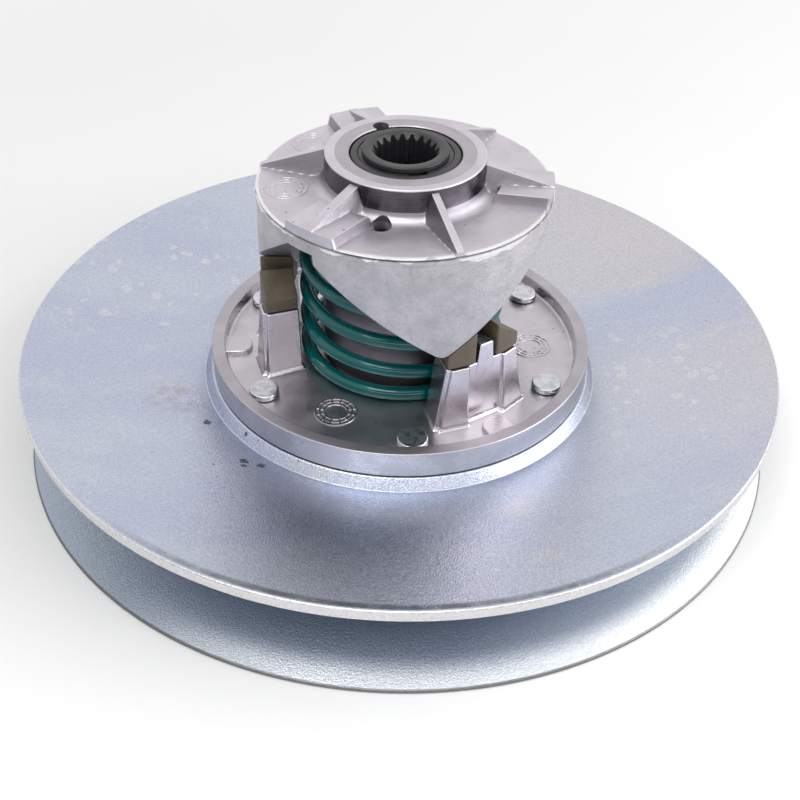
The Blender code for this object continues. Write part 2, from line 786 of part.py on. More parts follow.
def build_fixed_half(parent):
    """Lower sheave, hub, post, cam and the pieces that hold the cam."""
    zinc = make_material("zinc_plated_steel", (0.66, 0.69, 0.75), 0.34, 1.0)
    black = make_material("black_steel", (0.025, 0.025, 0.028), 0.42, 1.0)
    cast = make_material("cast_aluminium", (0.70, 0.68, 0.69), 0.42, 1.0)
    bright = make_material("bright_steel", (0.62, 0.62, 0.64), 0.28, 1.0)

    sheave = place("fixed_sheave", fixed_sheave_mesh(), zinc, parent)
    hub = place("fixed_hub", fixed_hub_mesh(), zinc, parent)
    holes = rivet_holes("fixed_rivet_holes", fixed_rivet_circle, 0, shoulder_top)
    combine(sheave, holes, "DIFFERENCE")
    combine(hub, holes, "DIFFERENCE")
    clamped_bottom = fixed_land - SHEET_THICKNESS - CLEARANCE - FIXED_FLANGE_THICKNESS
    place_rivets("fixed_rivet", fixed_rivet_circle, clamped_bottom, fixed_land, bright, parent)

    place("splined_post", post_mesh(), black, parent)
    cam_sections = [cam_section(azimuth) for azimuth in cam_azimuths()]
    cam = place("ramp_cam", loft_mesh("ramp_cam", cam_sections, True), cast, parent)
    pin_hole = lock_pin_hole()
    combine(cam, cam_ribs(), "UNION")
    combine(cam, cam_pads(), "UNION")
    combine(cam, sight_hole(), "DIFFERENCE")
    combine(cam, pin_hole, "DIFFERENCE")
    retainer = place("retaining_ring", retaining_ring_mesh(), black, parent)
    combine(retainer, pin_hole, "DIFFERENCE")
    place("snap_ring", snap_ring_mesh(), black, parent)
    place("lock_pin", lock_pin_mesh(), bright, parent)


def build_movable_half(parent, wire_points):
    """Upper sheave, its casting, and all that moves with them along the post."""
    zinc = make_material("zinc_plated_sheave", (0.66, 0.69, 0.75), 0.34, 1.0)
    cast = make_material("cast_hub_aluminium", (0.66, 0.64, 0.65), 0.42, 1.0)
    rivet_steel = make_material("rivet_steel", (0.62, 0.63, 0.66), 0.28, 1.0)
    plastic = make_material("shoe_plastic", (0.15, 0.11, 0.06), 0.50, 0.0)
    bronze = make_material("bushing_bronze", (0.45, 0.30, 0.14), 0.45, 1.0)

    sheave = place("movable_sheave", movable_sheave_mesh(), zinc, parent)
    hub = place("slider_hub", slider_hub_mesh(), cast, parent)
    holes = rivet_holes("rivet_holes", rivet_circle, land_top - 2 * SHEET_THICKNESS, ring_top)
    combine(sheave, holes, "DIFFERENCE")
    combine(hub, towers_and_pads(), "UNION")
    combine(hub, holes, "DIFFERENCE")
    combine(hub, tang_pocket(wire_points), "DIFFERENCE")

    place_rivets("rivet", rivet_circle, land_top - SHEET_THICKNESS, hub_floor, rivet_steel, parent)

    left = shoe_mesh("shoe_left", -1)
    right = shoe_mesh("shoe_right", 1)
    for number, turn in enumerate(steps_around(TOWER_COUNT), start=1):
        for label, mesh in (("left", left), ("right", right)):
            shoe = place(f"slider_shoe_{number}_{label}", mesh, plastic, parent)
            shoe.rotation_euler.z = turn

    lower = boss_bottom + BUSHING_INSET
    upper = boss_top - BUSHING_INSET - BUSHING_LENGTH
    place("lower_bushing", bushing_mesh("lower_bushing", lower), bronze, parent)
    place("upper_bushing", bushing_mesh("upper_bushing", upper), bronze, parent)


def build_spring(parent, wire_points):
    """Coil spring between the slider hub's floor and the cam's roof."""
    paint = make_material("teal_paint", (0.0, 0.115, 0.115), 0.22, 0.0)
    place("compression_spring", spring_curve(wire_points), paint, parent)
    print(f"Least gap of the spring to itself: {least_gap(wire_points) * 1000:.2f} mm")


def main():
    """Build the whole pulley."""
    for leftover in list(bpy.data.objects):
        bpy.data.objects.remove(leftover)
    wire_points = spring_points()
    build_fixed_half(carrier("fixed_half"))
    build_movable_half(carrier("movable_half"), wire_points)
    build_spring(carrier("spring_carrier"), wire_points)


main()
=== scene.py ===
import math

import bmesh
import bpy
from mathutils import Matrix, Vector


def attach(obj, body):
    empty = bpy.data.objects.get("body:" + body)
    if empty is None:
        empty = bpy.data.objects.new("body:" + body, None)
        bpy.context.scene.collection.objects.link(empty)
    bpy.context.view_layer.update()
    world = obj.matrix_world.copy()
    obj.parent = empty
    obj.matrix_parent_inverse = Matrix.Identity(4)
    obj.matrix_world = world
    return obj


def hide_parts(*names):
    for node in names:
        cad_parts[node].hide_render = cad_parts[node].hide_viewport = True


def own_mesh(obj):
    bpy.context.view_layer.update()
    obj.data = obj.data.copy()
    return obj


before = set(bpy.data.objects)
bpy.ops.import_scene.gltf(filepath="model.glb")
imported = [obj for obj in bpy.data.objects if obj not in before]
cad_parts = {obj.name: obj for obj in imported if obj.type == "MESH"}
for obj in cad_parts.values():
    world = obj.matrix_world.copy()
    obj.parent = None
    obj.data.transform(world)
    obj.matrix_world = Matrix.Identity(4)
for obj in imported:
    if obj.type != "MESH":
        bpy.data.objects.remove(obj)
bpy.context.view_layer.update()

# Azimuths are counted from -Y, counter-clockwise seen from above. All lengths are in metres.

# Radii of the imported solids, from the shaft outwards
SPLINE_TIP = 0.00985
SPLINE_ROOT = 0.01095
POST_RADIUS = 0.01435
BORE_RADIUS = 0.01465
BUSHING_RADIUS = 0.017
BOSS_BORE = 0.0173
RETAINER_RADIUS = 0.01835
COUNTERBORE_RADIUS = 0.01865
FIXED_HUB_RADIUS = 0.02465
HUB_RING_RADIUS = 0.02665
BOSS_RADIUS = 0.0275
COIL_RADIUS = 0.0333
TOWER_INNER = 0.0378
SHOE_INNER = 0.038
FIXED_RIVET_CIRCLE = 0.04465
SPIGOT_RADIUS = 0.0457
LOBE_OUTER = 0.0493
SHOE_OUTER = 0.0495
CAM_RADIUS = 0.04955
WEB_RADIUS = 0.0497
BUTTRESS_RADIUS = 0.052
FIXED_FLANGE_RADIUS = 0.05465
RIVET_CIRCLE = 0.0564
RING_INNER = 0.063
SKIRT_RADIUS = 0.0675
COLLAR_TOP_RADIUS = 0.068
COLLAR_FOOT_RADIUS = 0.0705
SHEAVE_RADIUS = 0.134

# Clearance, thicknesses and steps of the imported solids
CLEARANCE = 0.0003
SHEET = 0.0041
FIXED_RIM_EDGE = 0.0013
FIXED_HUB_RISE = 0.001
FIXED_FLANGE_THICKNESS = 0.004
GROOVE_ROOT_GAP = 0.00416
COLLAR_HEIGHT = 0.0039
HUB_FLANGE = 0.0048
RING_HEIGHT = 0.0092
SPIGOT_DEPTH = 0.0067
BOSS_OVERHANG = 0.0033
BOSS_HEIGHT = 0.0305
SEAT_HEIGHT = 0.023
WEB_HEIGHT = 0.007
SHOE_TOE = 0.005
PLATE_THICKNESS = 0.003
HUB_RING_HEIGHT = 0.0108
COUNTERBORE_DEPTH = 0.0085
POST_PROUD = 0.0024
RETAINER_DROP = 0.0006
LEDGE_DEPTH = 0.002
SNAP_DROP = 0.00025

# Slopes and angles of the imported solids
BELT_SLOPE = math.tan(math.radians(11.5))
LEAD = 0.0341
SHOE_FOOT = math.radians(16.7)
TOWER_AZIMUTH = math.radians(18.7)

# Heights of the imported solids, from the lower rim upwards
FIXED_LAND = FIXED_RIM_EDGE + BELT_SLOPE * (SHEAVE_RADIUS - COLLAR_FOOT_RADIUS)
COLLAR_FOOT = FIXED_LAND + GROOVE_ROOT_GAP + SHEET
MOVABLE_RIM_TOP = COLLAR_FOOT + BELT_SLOPE * (SHEAVE_RADIUS - COLLAR_FOOT_RADIUS)
MOVABLE_RIM = MOVABLE_RIM_TOP - SHEET
LAND_TOP = COLLAR_FOOT + COLLAR_HEIGHT
FLANGE_BOTTOM = LAND_TOP + CLEARANCE
HUB_FLOOR = FLANGE_BOTTOM + HUB_FLANGE
RING_TOP = FLANGE_BOTTOM + RING_HEIGHT
SPIGOT_BOTTOM = FLANGE_BOTTOM - SPIGOT_DEPTH
BOSS_BOTTOM = SPIGOT_BOTTOM - BOSS_OVERHANG
BOSS_TOP = HUB_FLOOR + BOSS_HEIGHT
SEAT = HUB_FLOOR + SEAT_HEIGHT
WEB_TOP = SEAT + WEB_HEIGHT
SHOE_BOTTOM = SEAT + CLEARANCE
SHOE_PEAK = SHOE_BOTTOM + SHOE_TOE + LEAD * SHOE_FOOT
RAMP_ROOT = SHOE_PEAK + CLEARANCE * math.hypot(1, LEAD / SHOE_INNER) - LEAD * TOWER_AZIMUTH
CAM_ROOF = RAMP_ROOT + LEAD * math.pi / 3
PLATE_TOP = CAM_ROOF + PLATE_THICKNESS
HUB_RING_TOP = PLATE_TOP + HUB_RING_HEIGHT
COUNTERBORE_FLOOR = HUB_RING_TOP - COUNTERBORE_DEPTH
POST_TOP = HUB_RING_TOP + POST_PROUD
RETAINER_BOTTOM = COUNTERBORE_FLOOR + CLEARANCE
RETAINER_TOP = HUB_RING_TOP - RETAINER_DROP
RETAINER_LEDGE = RETAINER_TOP - LEDGE_DEPTH
SNAP_BOTTOM = RETAINER_LEDGE + CLEARANCE
SNAP_TOP = RETAINER_TOP - SNAP_DROP

# Edge radii
HAIR = 0.0002
CRISP = 0.0003
FINE = 0.0004
KEEN = 0.0005
EASED = 0.0006
SOFT = 0.0008
ROLLED = 0.0009
FULL = 0.0010
FILLET = 0.0012
WIDE_FILLET = 0.0015
BEND = 0.0030

# Rim of the cam, with a groove round it
RIM_EDGE = 0.0012
RIM_GROOVE = 0.0007
RIM_GROOVE_TOP = 0.0006
RIM_GROOVE_END = 0.0010

# Fineness of the meshes
DISC_STEPS = 288
BODY_STEPS = 216
SMALL_STEPS = 72
ARC_STEPS = 6
SHARP = math.radians(32)
SUPPORT = 1.06
MOST_REACH = 0.46

# A short distance that tells surfaces apart, and the way up
NEAR = 0.0002
UP = Vector((0, 0, 1))


def polar(radius, azimuth, height):
    """Point at a radius and azimuth around the shaft."""
    return Vector((radius * math.sin(azimuth), -radius * math.cos(azimuth), height))


def steps_around(count):
    """Evenly spaced azimuths of one full turn."""
    return [2 * math.pi * index / count for index in range(count)]


def thirds():
    """Azimuths of the three repeats around the shaft."""
    return steps_around(3)


def quarter_turn(count=ARC_STEPS):
    """Sine and cosine at even steps of a quarter turn, both ends included."""
    angles = [math.pi / 2 * step / count for step in range(count + 1)]
    return [(math.sin(angle), math.cos(angle)) for angle in angles]


def edge_rings(radius, top, edge):
    """Radius and height along a rounded outer edge, from the wall to the top."""
    return [(radius - edge * (1 - cosine), top - edge * (1 - sine))
            for sine, cosine in quarter_turn()]


def block(inner, outer, bottom, top, edge):
    """Corners of a rectangular cross-section, with the same rounding at each."""
    return [(inner, bottom, edge), (outer, bottom, edge), (outer, top, edge), (inner, top, edge)]


def rounded(corners):
    """Closed outline of (x, y, radius) corners, each a curve with a support point on both sides."""
    points = []
    count = len(corners)
    for index, (x, y, radius) in enumerate(corners):
        corner = Vector((x, y))
        back = Vector(corners[index - 1][:2]) - corner
        ahead = Vector(corners[(index + 1) % count][:2]) - corner
        if radius == 0:
            points.append(corner)
            continue
        reach = radius / math.tan(back.angle(ahead) / 2)
        reach = min(reach, MOST_REACH * back.length, MOST_REACH * ahead.length)
        start = corner + back.normalized() * reach
        end = corner + ahead.normalized() * reach
        points.append(corner + (start - corner) * SUPPORT)
        for step in range(ARC_STEPS + 1):
            share = step / ARC_STEPS
            points.append(start.lerp(corner, share).lerp(corner.lerp(end, share), share))
        points.append(corner + (end - corner) * SUPPORT)
    return points


def loft_mesh(sections, wrap):
    """Skin over equal loops of points, closed into a ring by wrap, otherwise capped."""
    bm = bmesh.new()
    rows = [[bm.verts.new(point) for point in section] for section in sections]
    pairs = list(zip(rows, rows[1:]))
    if wrap:
        pairs.append((rows[-1], rows[0]))
    else:
        bm.faces.new(rows[0])
        bm.faces.new(rows[-1])
    for near, far in pairs:
        for index in range(len(near)):
            after = (index + 1) % len(near)
            bm.faces.new((near[index], far[index], far[after], near[after]))
    bmesh.ops.recalc_face_normals(bm, faces=bm.faces)
    mesh = bpy.data.meshes.new("form")
    bm.to_mesh(mesh)
    bm.free()
    shade(mesh)
    return mesh


def shade(mesh):
    """Smooth shading apart from sharp edges."""
    mesh.shade_smooth()
    mesh.set_sharp_from_angle(angle=SHARP)


def turned_mesh(corners, count):
    """Turned piece with a hole through it, from its rounded outline of (radius, height, fillet)."""
    outline = rounded(corners)
    sections = [[polar(x, azimuth, y) for x, y in outline] for azimuth in steps_around(count)]
    return loft_mesh(sections, True)


def stacked_mesh(levels, centre):
    """Upright round piece from its rings of (radius, height)."""
    turns = steps_around(SMALL_STEPS)
    sections = [[centre + polar(radius, turn, height) for turn in turns]
                for radius, height in levels]
    return loft_mesh(sections, False)


def place(name, mesh, body, slot_name, node, *materials):
    """Named piece on its body, in place of the CAD node it stands for."""
    mesh.name = name
    piece = bpy.data.objects.new(name, mesh)
    bpy.context.collection.objects.link(piece)
    for material in materials:
        piece.data.materials.append(material)
    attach(piece, body)
    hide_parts(node)
    return piece


def combine(mesh, others, operation):
    """Mesh with other meshes added to it or cut from it."""
    base = bpy.data.objects.new("base", mesh)
    bpy.context.collection.objects.link(base)
    guides = []
    for other in others:
        guide = bpy.data.objects.new("guide", other)
        bpy.context.collection.objects.link(guide)
        guides.append(guide)
        modifier = base.modifiers.new("combine", "BOOLEAN")
        modifier.operation = operation
        modifier.solver = "EXACT"
        modifier.object = guide
    depsgraph = bpy.context.evaluated_depsgraph_get()
    result = bpy.data.meshes.new_from_object(base.evaluated_get(depsgraph))
    for leftover in [base] + guides:
        bpy.data.objects.remove(leftover)
    shade(result)
    return result


def paint_faces(mesh, chooser):
    """Give each face the material number that chooser returns for it."""
    for face in mesh.polygons:
        face.material_index = chooser(face)


def face_radius(face):
    """Distance of a face's centre from the shaft."""
    return math.hypot(face.center.x, face.center.y)


def even_shading(piece):
    """Shading that follows the large faces of a piece."""
    piece.modifiers.new("even_shading", "WEIGHTED_NORMAL").keep_sharp = True


# Node trees
MIX_SHARE, MIX_FIRST, MIX_SECOND, MIX_RESULT = 0, 6, 7, 2
PLAIN_DETAIL = 2.0
SMALLEST_SPOT = 0.45
SPOT_CORE = 0.7
SPOT_CHOICE = 0.01


def opaque(colour):
    """Colour with full cover; a socket stays as it is."""
    return (*colour, 1) if isinstance(colour, tuple) else colour


class Nodes:
    """Node tree, with short ways to add to it."""

    def __init__(self, tree):
        self.tree = tree

    def add(self, kind, inputs, **settings):
        """Node with its settings, and its inputs set to constants or linked to sockets."""
        node = self.tree.nodes.new(kind)
        for key, value in settings.items():
            setattr(node, key, value)
        for key, value in inputs.items():
            if isinstance(value, bpy.types.NodeSocket):
                self.tree.links.new(value, node.inputs[key])
            else:
                node.inputs[key].default_value = value
        return node

    def ramp(self, value, low, high, to_low=0.0, to_high=1.0):
        """Value carried from one range to another, smooth and clamped."""
        inputs = {"Value": value, "From Min": low, "From Max": high,
                  "To Min": to_low, "To Max": to_high}
        node = self.add("ShaderNodeMapRange", inputs, interpolation_type="SMOOTHSTEP")
        return node.outputs["Result"]

    def chain(self, operation, *values):
        """Arithmetic on values, one after another."""
        result = values[0]
        for value in values[1:]:
            node = self.add("ShaderNodeMath", {0: result, 1: value}, operation=operation)
            result = node.outputs[0]
        return result

    def product(self, *values):
        """Values multiplied."""
        return self.chain("MULTIPLY", *values)

    def largest(self, *values):
        """Largest of the values."""
        return self.chain("MAXIMUM", *values)

    def vector(self, operation, *vectors):
        """Outputs of arithmetic on vectors."""
        inputs = dict(enumerate(vectors))
        return self.add("ShaderNodeVectorMath", inputs, operation=operation).outputs

    def seen_directly(self):
        """One for camera, glossy and transmission rays, nothing for scattered light."""
        path = self.add("ShaderNodeLightPath", {}).outputs
        return self.largest(path["Is Camera Ray"], path["Is Glossy Ray"],
                            path["Is Transmission Ray"])


class Surface(Nodes):
    """Material in the making: its nodes, its shader and the piece's own coordinates."""

    def __init__(self, name, **constants):
        self.material = bpy.data.materials.new(name)
        self.material.use_nodes = True
        super().__init__(self.material.node_tree)
        self.shader = self.tree.nodes["Principled BSDF"]
        for key, value in constants.items():
            socket = key.replace("_", " ").title().replace("Ior", "IOR")
            self.shader.inputs[socket].default_value = value
        self.where = self.add("ShaderNodeTexCoord", {}).outputs["Object"]

    def at(self, where):
        """The given coordinates, or the piece's own ones if there are none."""
        return self.where if where is None else where

    def split(self, vector):
        """Coordinates of a vector one by one."""
        return self.add("ShaderNodeSeparateXYZ", {"Vector": vector}).outputs

    def height(self):
        """Height over the lower rim."""
        return self.split(self.where)["Z"]

    def facing_up(self):
        """One where the surface looks up, minus one where it looks down."""
        return self.split(self.add("ShaderNodeNewGeometry", {}).outputs["Normal"])["Z"]

    def shaft_distance(self):
        """Distance from the shaft axis."""
        parts = self.split(self.where)
        flat = self.add("ShaderNodeCombineXYZ", {"X": parts["X"], "Y": parts["Y"]}).outputs[0]
        return self.vector("LENGTH", flat)["Value"]

    def towards(self, direction, low, high):
        """Mask that grows with the distance from the shaft along a level direction."""
        return self.ramp(self.vector("DOT_PRODUCT", self.where, direction)["Value"], low, high)

    def around(self, point, far, near, where=None):
        """Mask that is full within a near distance of a point and fades out at a far one."""
        return self.ramp(self.vector("DISTANCE", self.at(where), point)["Value"], far, near)

    def shaken(self, scale, size, shift=0.0):
        """Coordinates shaken by noise and shifted, for ragged outlines."""
        inputs = {"Vector": self.where, "Scale": scale, "Detail": PLAIN_DETAIL}
        shake = self.add("ShaderNodeTexNoise", inputs).outputs["Color"]
        moved = self.vector("MULTIPLY_ADD", shake, (size, size, size), self.where)["Vector"]
        return self.vector("ADD", moved, (shift, shift, shift))["Vector"]

    def stretched(self, rotation, scale):
        """Coordinates turned and scaled, so that what follows them is drawn out."""
        inputs = {"Vector": self.where, "Rotation": rotation, "Scale": scale}
        return self.add("ShaderNodeMapping", inputs).outputs["Vector"]

    def noise(self, scale, detail=3.0, roughness=0.55, where=None):
        """Noise value at a number of waves per metre."""
        where = self.at(where)
        inputs = {"Vector": where, "Scale": scale, "Detail": detail, "Roughness": roughness}
        return self.add("ShaderNodeTexNoise", inputs).outputs["Fac"]

    def patches(self, low, high, to_low=0.0, to_high=1.0, **pattern):
        """Noise carried from a range of its values to another."""
        return self.ramp(self.noise(**pattern), low, high, to_low, to_high)

    def turning_lines(self, scale):
        """Fine lines of a lathe tool around the shaft, on flat faces and on walls."""
        across = self.chain("ADD", self.shaft_distance(), self.height())
        inputs = {"W": across, "Scale": scale, "Detail": PLAIN_DETAIL}
        return self.add("ShaderNodeTexNoise", inputs, noise_dimensions="1D").outputs["Fac"]

    def spots(self, scale, size, rarity, where=None):
        """Scattered round spots: one for some of the cells of a pattern."""
        cells = self.add("ShaderNodeTexVoronoi", {"Vector": self.at(where), "Scale": scale}).outputs
        chance = self.add("ShaderNodeSeparateColor", {"Color": cells["Color"]}).outputs
        growth = self.ramp(chance["Green"], 0, 1, SMALLEST_SPOT)
        near = self.ramp(self.chain("DIVIDE", cells["Distance"], growth), size, size * SPOT_CORE)
        return self.product(near, self.ramp(chance["Red"], rarity, rarity + SPOT_CHOICE))

    def mix(self, share, first, second, blend="MIX"):
        """Colour between two colours."""
        inputs = {MIX_SHARE: share, MIX_FIRST: opaque(first), MIX_SECOND: opaque(second)}
        node = self.add("ShaderNodeMix", inputs, data_type="RGBA", blend_type=blend)
        return node.outputs[MIX_RESULT]

    def tint(self, colour, mask, share, other):
        """Colour with a share of another colour where a mask says so."""
        return self.mix(self.product(mask, share), colour, other)

    def bumps(self, *layers):
        """Heights with their depths, from (depth in metres, noise pattern) layers."""
        return [(self.noise(**pattern), depth) for depth, pattern in layers]

    def complete(self, colour, roughness=None, bumps=()):
        """Finished material with its colour, roughness and bumps, each bump on top of the last."""
        normal = None
        for height, depth in bumps:
            inputs = {"Height": height, "Distance": depth, "Strength": 1.0}
            if normal is not None:
                inputs["Normal"] = normal
            normal = self.add("ShaderNodeBump", inputs).outputs["Normal"]
        for name, socket in (("Base Color", colour), ("Roughness", roughness), ("Normal", normal)):
            if socket is not None:
                self.tree.links.new(socket, self.shader.inputs[name])
        return self.material


# Places on the zinc plate: points or directions with the distances between which their masks fade
WARM_SIDE = ((0.90, 0.43, 0), 0.0, SHEAVE_RADIUS)
# Side on which a dark broken band runs just inside the upper rim
DARK_BAND_SIDE = ((-0.281, -0.960, 0), 0.70 * SHEAVE_RADIUS, 0.96 * SHEAVE_RADIUS)
# Side of the lower sheave's outer band that gets a painted highlight
HIGHLIGHT_SIDE = ((0.342, -0.940, 0), 0.2 * SHEAVE_RADIUS, 0.7 * SHEAVE_RADIUS)
LEFT_BLOOM = ((-0.0826, 0.0681, 0.0299), 0.062, 0.022)
RIGHT_BLOOM = ((0.0785, -0.0375, 0.0258), 0.058, 0.018)
SMUDGE = ((-0.0818, -0.0050, 0.0248), 0.015, 0.004)
CHIPS = ((-0.0618, -0.0360, 0.0228), 0.026, 0.012)
LARGE_CHIPS = ((-0.0737, -0.0189, 0.0236), (-0.0647, -0.0423, 0.0239), (-0.0596, -0.0456, 0.0234))
LARGE_CHIP_REACH = (0.0017, 0.0010)

# Distances from the rim between which masks of the zinc plate fade
DARK_BAND_INSIDE = (0.0042, 0.0026)
DARK_BAND_OUTSIDE = (0.0008, 0.0015)
HIGHLIGHT_BAND_RANGE = (0.0125, 0.003)
SHEEN_BAND_RANGE = (0.026, 0.014)
RIM_FACE = (0.0007, 0.0003)

# Patterns of the zinc plate, with its shakes as (waves per metre, size, shift)
STREAK_TURN = (0, 0, math.radians(16.3))
STREAK_STRETCH = (0.35, 1, 1)
RAGGED = (260, 0.0034)
TORN = (480, 0.0040, -0.0020)
CLOUDS = dict(scale=24, detail=5, roughness=0.6, low=0.36, high=0.64)
WARM_PATCHES = dict(scale=17, detail=4, low=0.38, high=0.60)
CREAM_PATCHES = dict(scale=32, detail=4, roughness=0.65, low=0.60, high=0.74)
HALO_SPOTS = dict(scale=190, size=0.50, rarity=0.60)
HEART_SPOTS = dict(scale=190, size=0.26, rarity=0.60)
SMUDGE_PATCHES = dict(scale=260, detail=4, roughness=0.7, low=0.36, high=0.66)
CHIP_SPOTS = dict(scale=300, size=0.34, rarity=0.74)
SPECKS = dict(scale=330, size=0.12, rarity=0.965)
DARK_BAND_BREAKS = dict(scale=160, detail=5, roughness=0.7, low=0.22, high=0.70, to_low=0.35)
GRAIN = dict(scale=1300, low=0.30, high=0.70, to_low=0.90, to_high=1.09)
SMEARS = dict(scale=26, detail=4, roughness=0.6, low=0.3, high=0.7, to_low=0.17, to_high=0.27)
LOWER_DULLNESS = 0.12
SHEEN_TILT = (0.0, -0.5)
ZINC_RELIEF = ((0.00016, dict(scale=1850, detail=2)), (0.00004, dict(scale=300)))

# Colours of the zinc plate, and tints of (share, colour)
ZINC_SHADES = ((0.475, 0.505, 0.635), (0.535, 0.565, 0.655))
WARM_TINT = (0.75, (0.60, 0.565, 0.58))
CREAM_TINT = (0.35, (0.66, 0.62, 0.56))
HALO_TINT = (0.50, (0.68, 0.69, 0.72))
HEART_TINT = (0.35, (0.64, 0.55, 0.45))
SMUDGE_TINT = (0.42, (0.32, 0.25, 0.22))
CHIP_TINT = (0.88, (0.05, 0.045, 0.045))
LOWER_TINT = (0.85, (0.322, 0.370, 0.432))
# Dark broken band just inside the upper rim, on one side
DARK_BAND_TINT = (0.80, (0.10, 0.095, 0.105))
# Painted highlight on the lower sheave's outer band
PAINTED_HIGHLIGHT_TINT = (0.95, (0.97, 0.98, 1.0))
# Painted sheen on faces that look down near the rim
PAINTED_SHEEN_TINT = (0.90, (0.90, 0.91, 0.93))
UPPER_RIM_TINT = (0.85, (0.72, 0.70, 0.70))
# Painted shade on the lower rim's face
LOWER_RIM_SHADE_TINT = (0.90, (0.13, 0.13, 0.135))


def zinc_ground(plate, drawn, ragged):
    """Cloudy and streaked pale blue, warmer on one side, with cream patches."""
    colour = plate.mix(plate.patches(where=drawn, **CLOUDS), *ZINC_SHADES)
    warm = plate.product(plate.towards(*WARM_SIDE), plate.patches(where=drawn, **WARM_PATCHES))
    colour = plate.tint(colour, warm, *WARM_TINT)
    return plate.tint(colour, plate.patches(where=ragged, **CREAM_PATCHES), *CREAM_TINT)


def zinc_stains(plate, colour, ragged):
    """Colour with bloom spots, a brown smudge, dark specks and chips."""
    marked = plate.largest(plate.around(*LEFT_BLOOM), plate.around(*RIGHT_BLOOM))
    for pattern, tint in ((HALO_SPOTS, HALO_TINT), (HEART_SPOTS, HEART_TINT)):
        bloom = plate.product(plate.spots(where=ragged, **pattern), marked)
        colour = plate.tint(colour, bloom, *tint)
    smudge = plate.product(plate.around(*SMUDGE), plate.patches(where=ragged, **SMUDGE_PATCHES))
    colour = plate.tint(colour, smudge, *SMUDGE_TINT)
    chips = plate.product(plate.spots(where=ragged, **CHIP_SPOTS), plate.around(*CHIPS))
    torn = plate.shaken(*TORN)
    large = [plate.around(chip, *LARGE_CHIP_REACH, where=torn) for chip in LARGE_CHIPS]
    return plate.tint(colour, plate.largest(plate.spots(**SPECKS), chips, *large), *CHIP_TINT)


def zinc_rims(plate, colour, ragged, upper, lower):
    """Colour with what sets the lower sheave and the rims apart: a dark broken band inside the
    upper rim, a painted highlight on one side of the lower sheave's outer band, a painted sheen on
    the belt faces, which look down near the rim, and painted shade on the lower rim.
    """
    from_rim = plate.chain("SUBTRACT", SHEAVE_RADIUS, plate.shaft_distance())
    # Dark broken band just inside the upper rim, on one side
    dark_band = plate.product(
        plate.ramp(from_rim, *DARK_BAND_INSIDE), plate.ramp(from_rim, *DARK_BAND_OUTSIDE),
        plate.towards(*DARK_BAND_SIDE), plate.patches(where=ragged, **DARK_BAND_BREAKS), upper)
    highlight_band = plate.ramp(from_rim, *HIGHLIGHT_BAND_RANGE)
    # Faces that look down, which get a painted sheen near the rim
    sheen_faces = plate.ramp(plate.facing_up(), *SHEEN_TILT)
    rim = plate.ramp(from_rim, *RIM_FACE)
    layers = (
        (lower, LOWER_TINT),
        (dark_band, DARK_BAND_TINT),
        # painted highlight on one side of the lower sheave's outer band
        (plate.product(plate.towards(*HIGHLIGHT_SIDE), highlight_band, lower), PAINTED_HIGHLIGHT_TINT),
        # painted sheen: a lighter tint on faces that look down near the rim
        (plate.product(sheen_faces, plate.ramp(from_rim, *SHEEN_BAND_RANGE)), PAINTED_SHEEN_TINT),
        (plate.product(rim, upper), UPPER_RIM_TINT),
        # painted shade on the lower rim's face
        (plate.product(rim, lower), LOWER_RIM_SHADE_TINT),
    )
    for mask, tint in layers:
        colour = plate.tint(colour, mask, *tint)
    return colour


def zinc_material():
    """Zinc plate of both sheaves, with a sandy grain."""
    plate = Surface("zinc_plate", metallic=1.0)
    drawn = plate.stretched(STREAK_TURN, STREAK_STRETCH)
    ragged = plate.shaken(*RAGGED)
    upper = plate.ramp(plate.height(), FIXED_LAND, LAND_TOP)
    lower = plate.ramp(plate.height(), LAND_TOP, FIXED_LAND)
    colour = zinc_ground(plate, drawn, ragged)
    colour = zinc_stains(plate, colour, ragged)
    colour = zinc_rims(plate, colour, ragged, upper, lower)
    channels = dict.fromkeys(("Red", "Green", "Blue"), plate.patches(**GRAIN))
    grey = plate.add("ShaderNodeCombineColor", channels).outputs["Color"]
    colour = plate.mix(1.0, colour, grey, "MULTIPLY")
    dullness = plate.product(lower, LOWER_DULLNESS)
    satin = plate.chain("ADD", plate.patches(where=drawn, **SMEARS), dullness)
    return plate.complete(colour, satin, plate.bumps(*ZINC_RELIEF))


# Castings
HUB_SHADES = ((0.61, 0.575, 0.605), (0.52, 0.495, 0.525))
CAM_SHADES = ((0.63, 0.595, 0.645), (0.56, 0.53, 0.58))
CAST_MOTTLE = dict(scale=70, detail=5, roughness=0.65, low=0.35, high=0.65)
PORE_SHAKE = (700, 0.0010)
PORES = dict(scale=360, size=0.18, rarity=0.82)
PORE_TINT = (0.7, (0.12, 0.10, 0.11))
# Painted shade on the cam's steep walls
SHADE_SLOPE_RANGE = (0.93, 0.50)
STEEP_SHADE_TINT = (0.72, (0.13, 0.12, 0.14))
CAST_SATIN = dict(scale=120, detail=4, low=0.3, high=0.7)
CAST_SMOOTHER = 0.05
CAST_ROUGHER = 0.07
CAST_RELIEF = ((0.00007, dict(scale=1700, roughness=0.6)), (0.00010, dict(scale=260)))
WALL_SHADES = ((0.57, 0.555, 0.57), (0.44, 0.43, 0.45))
WALL_MOTTLE = dict(scale=110, detail=6, roughness=0.72, low=0.3, high=0.7)
SPECKLE = dict(scale=800, roughness=0.6, low=0.52, high=0.70)
SPECKLE_TINT = (0.30, (0.30, 0.29, 0.31))
SCRATCH_TURN = (0.5, 0.2, 0.3)
SCRATCH_STRETCH = (1, 1, 0.12)
SCRATCHES = dict(scale=700, detail=2, low=0.66, high=0.72)
SCRATCH_TINT = (0.45, (0.34, 0.33, 0.35))
FLASH_WAVES = dict(scale=60)
FLASH_WAVER = 0.014
FLASH_DEPTH = 0.0019
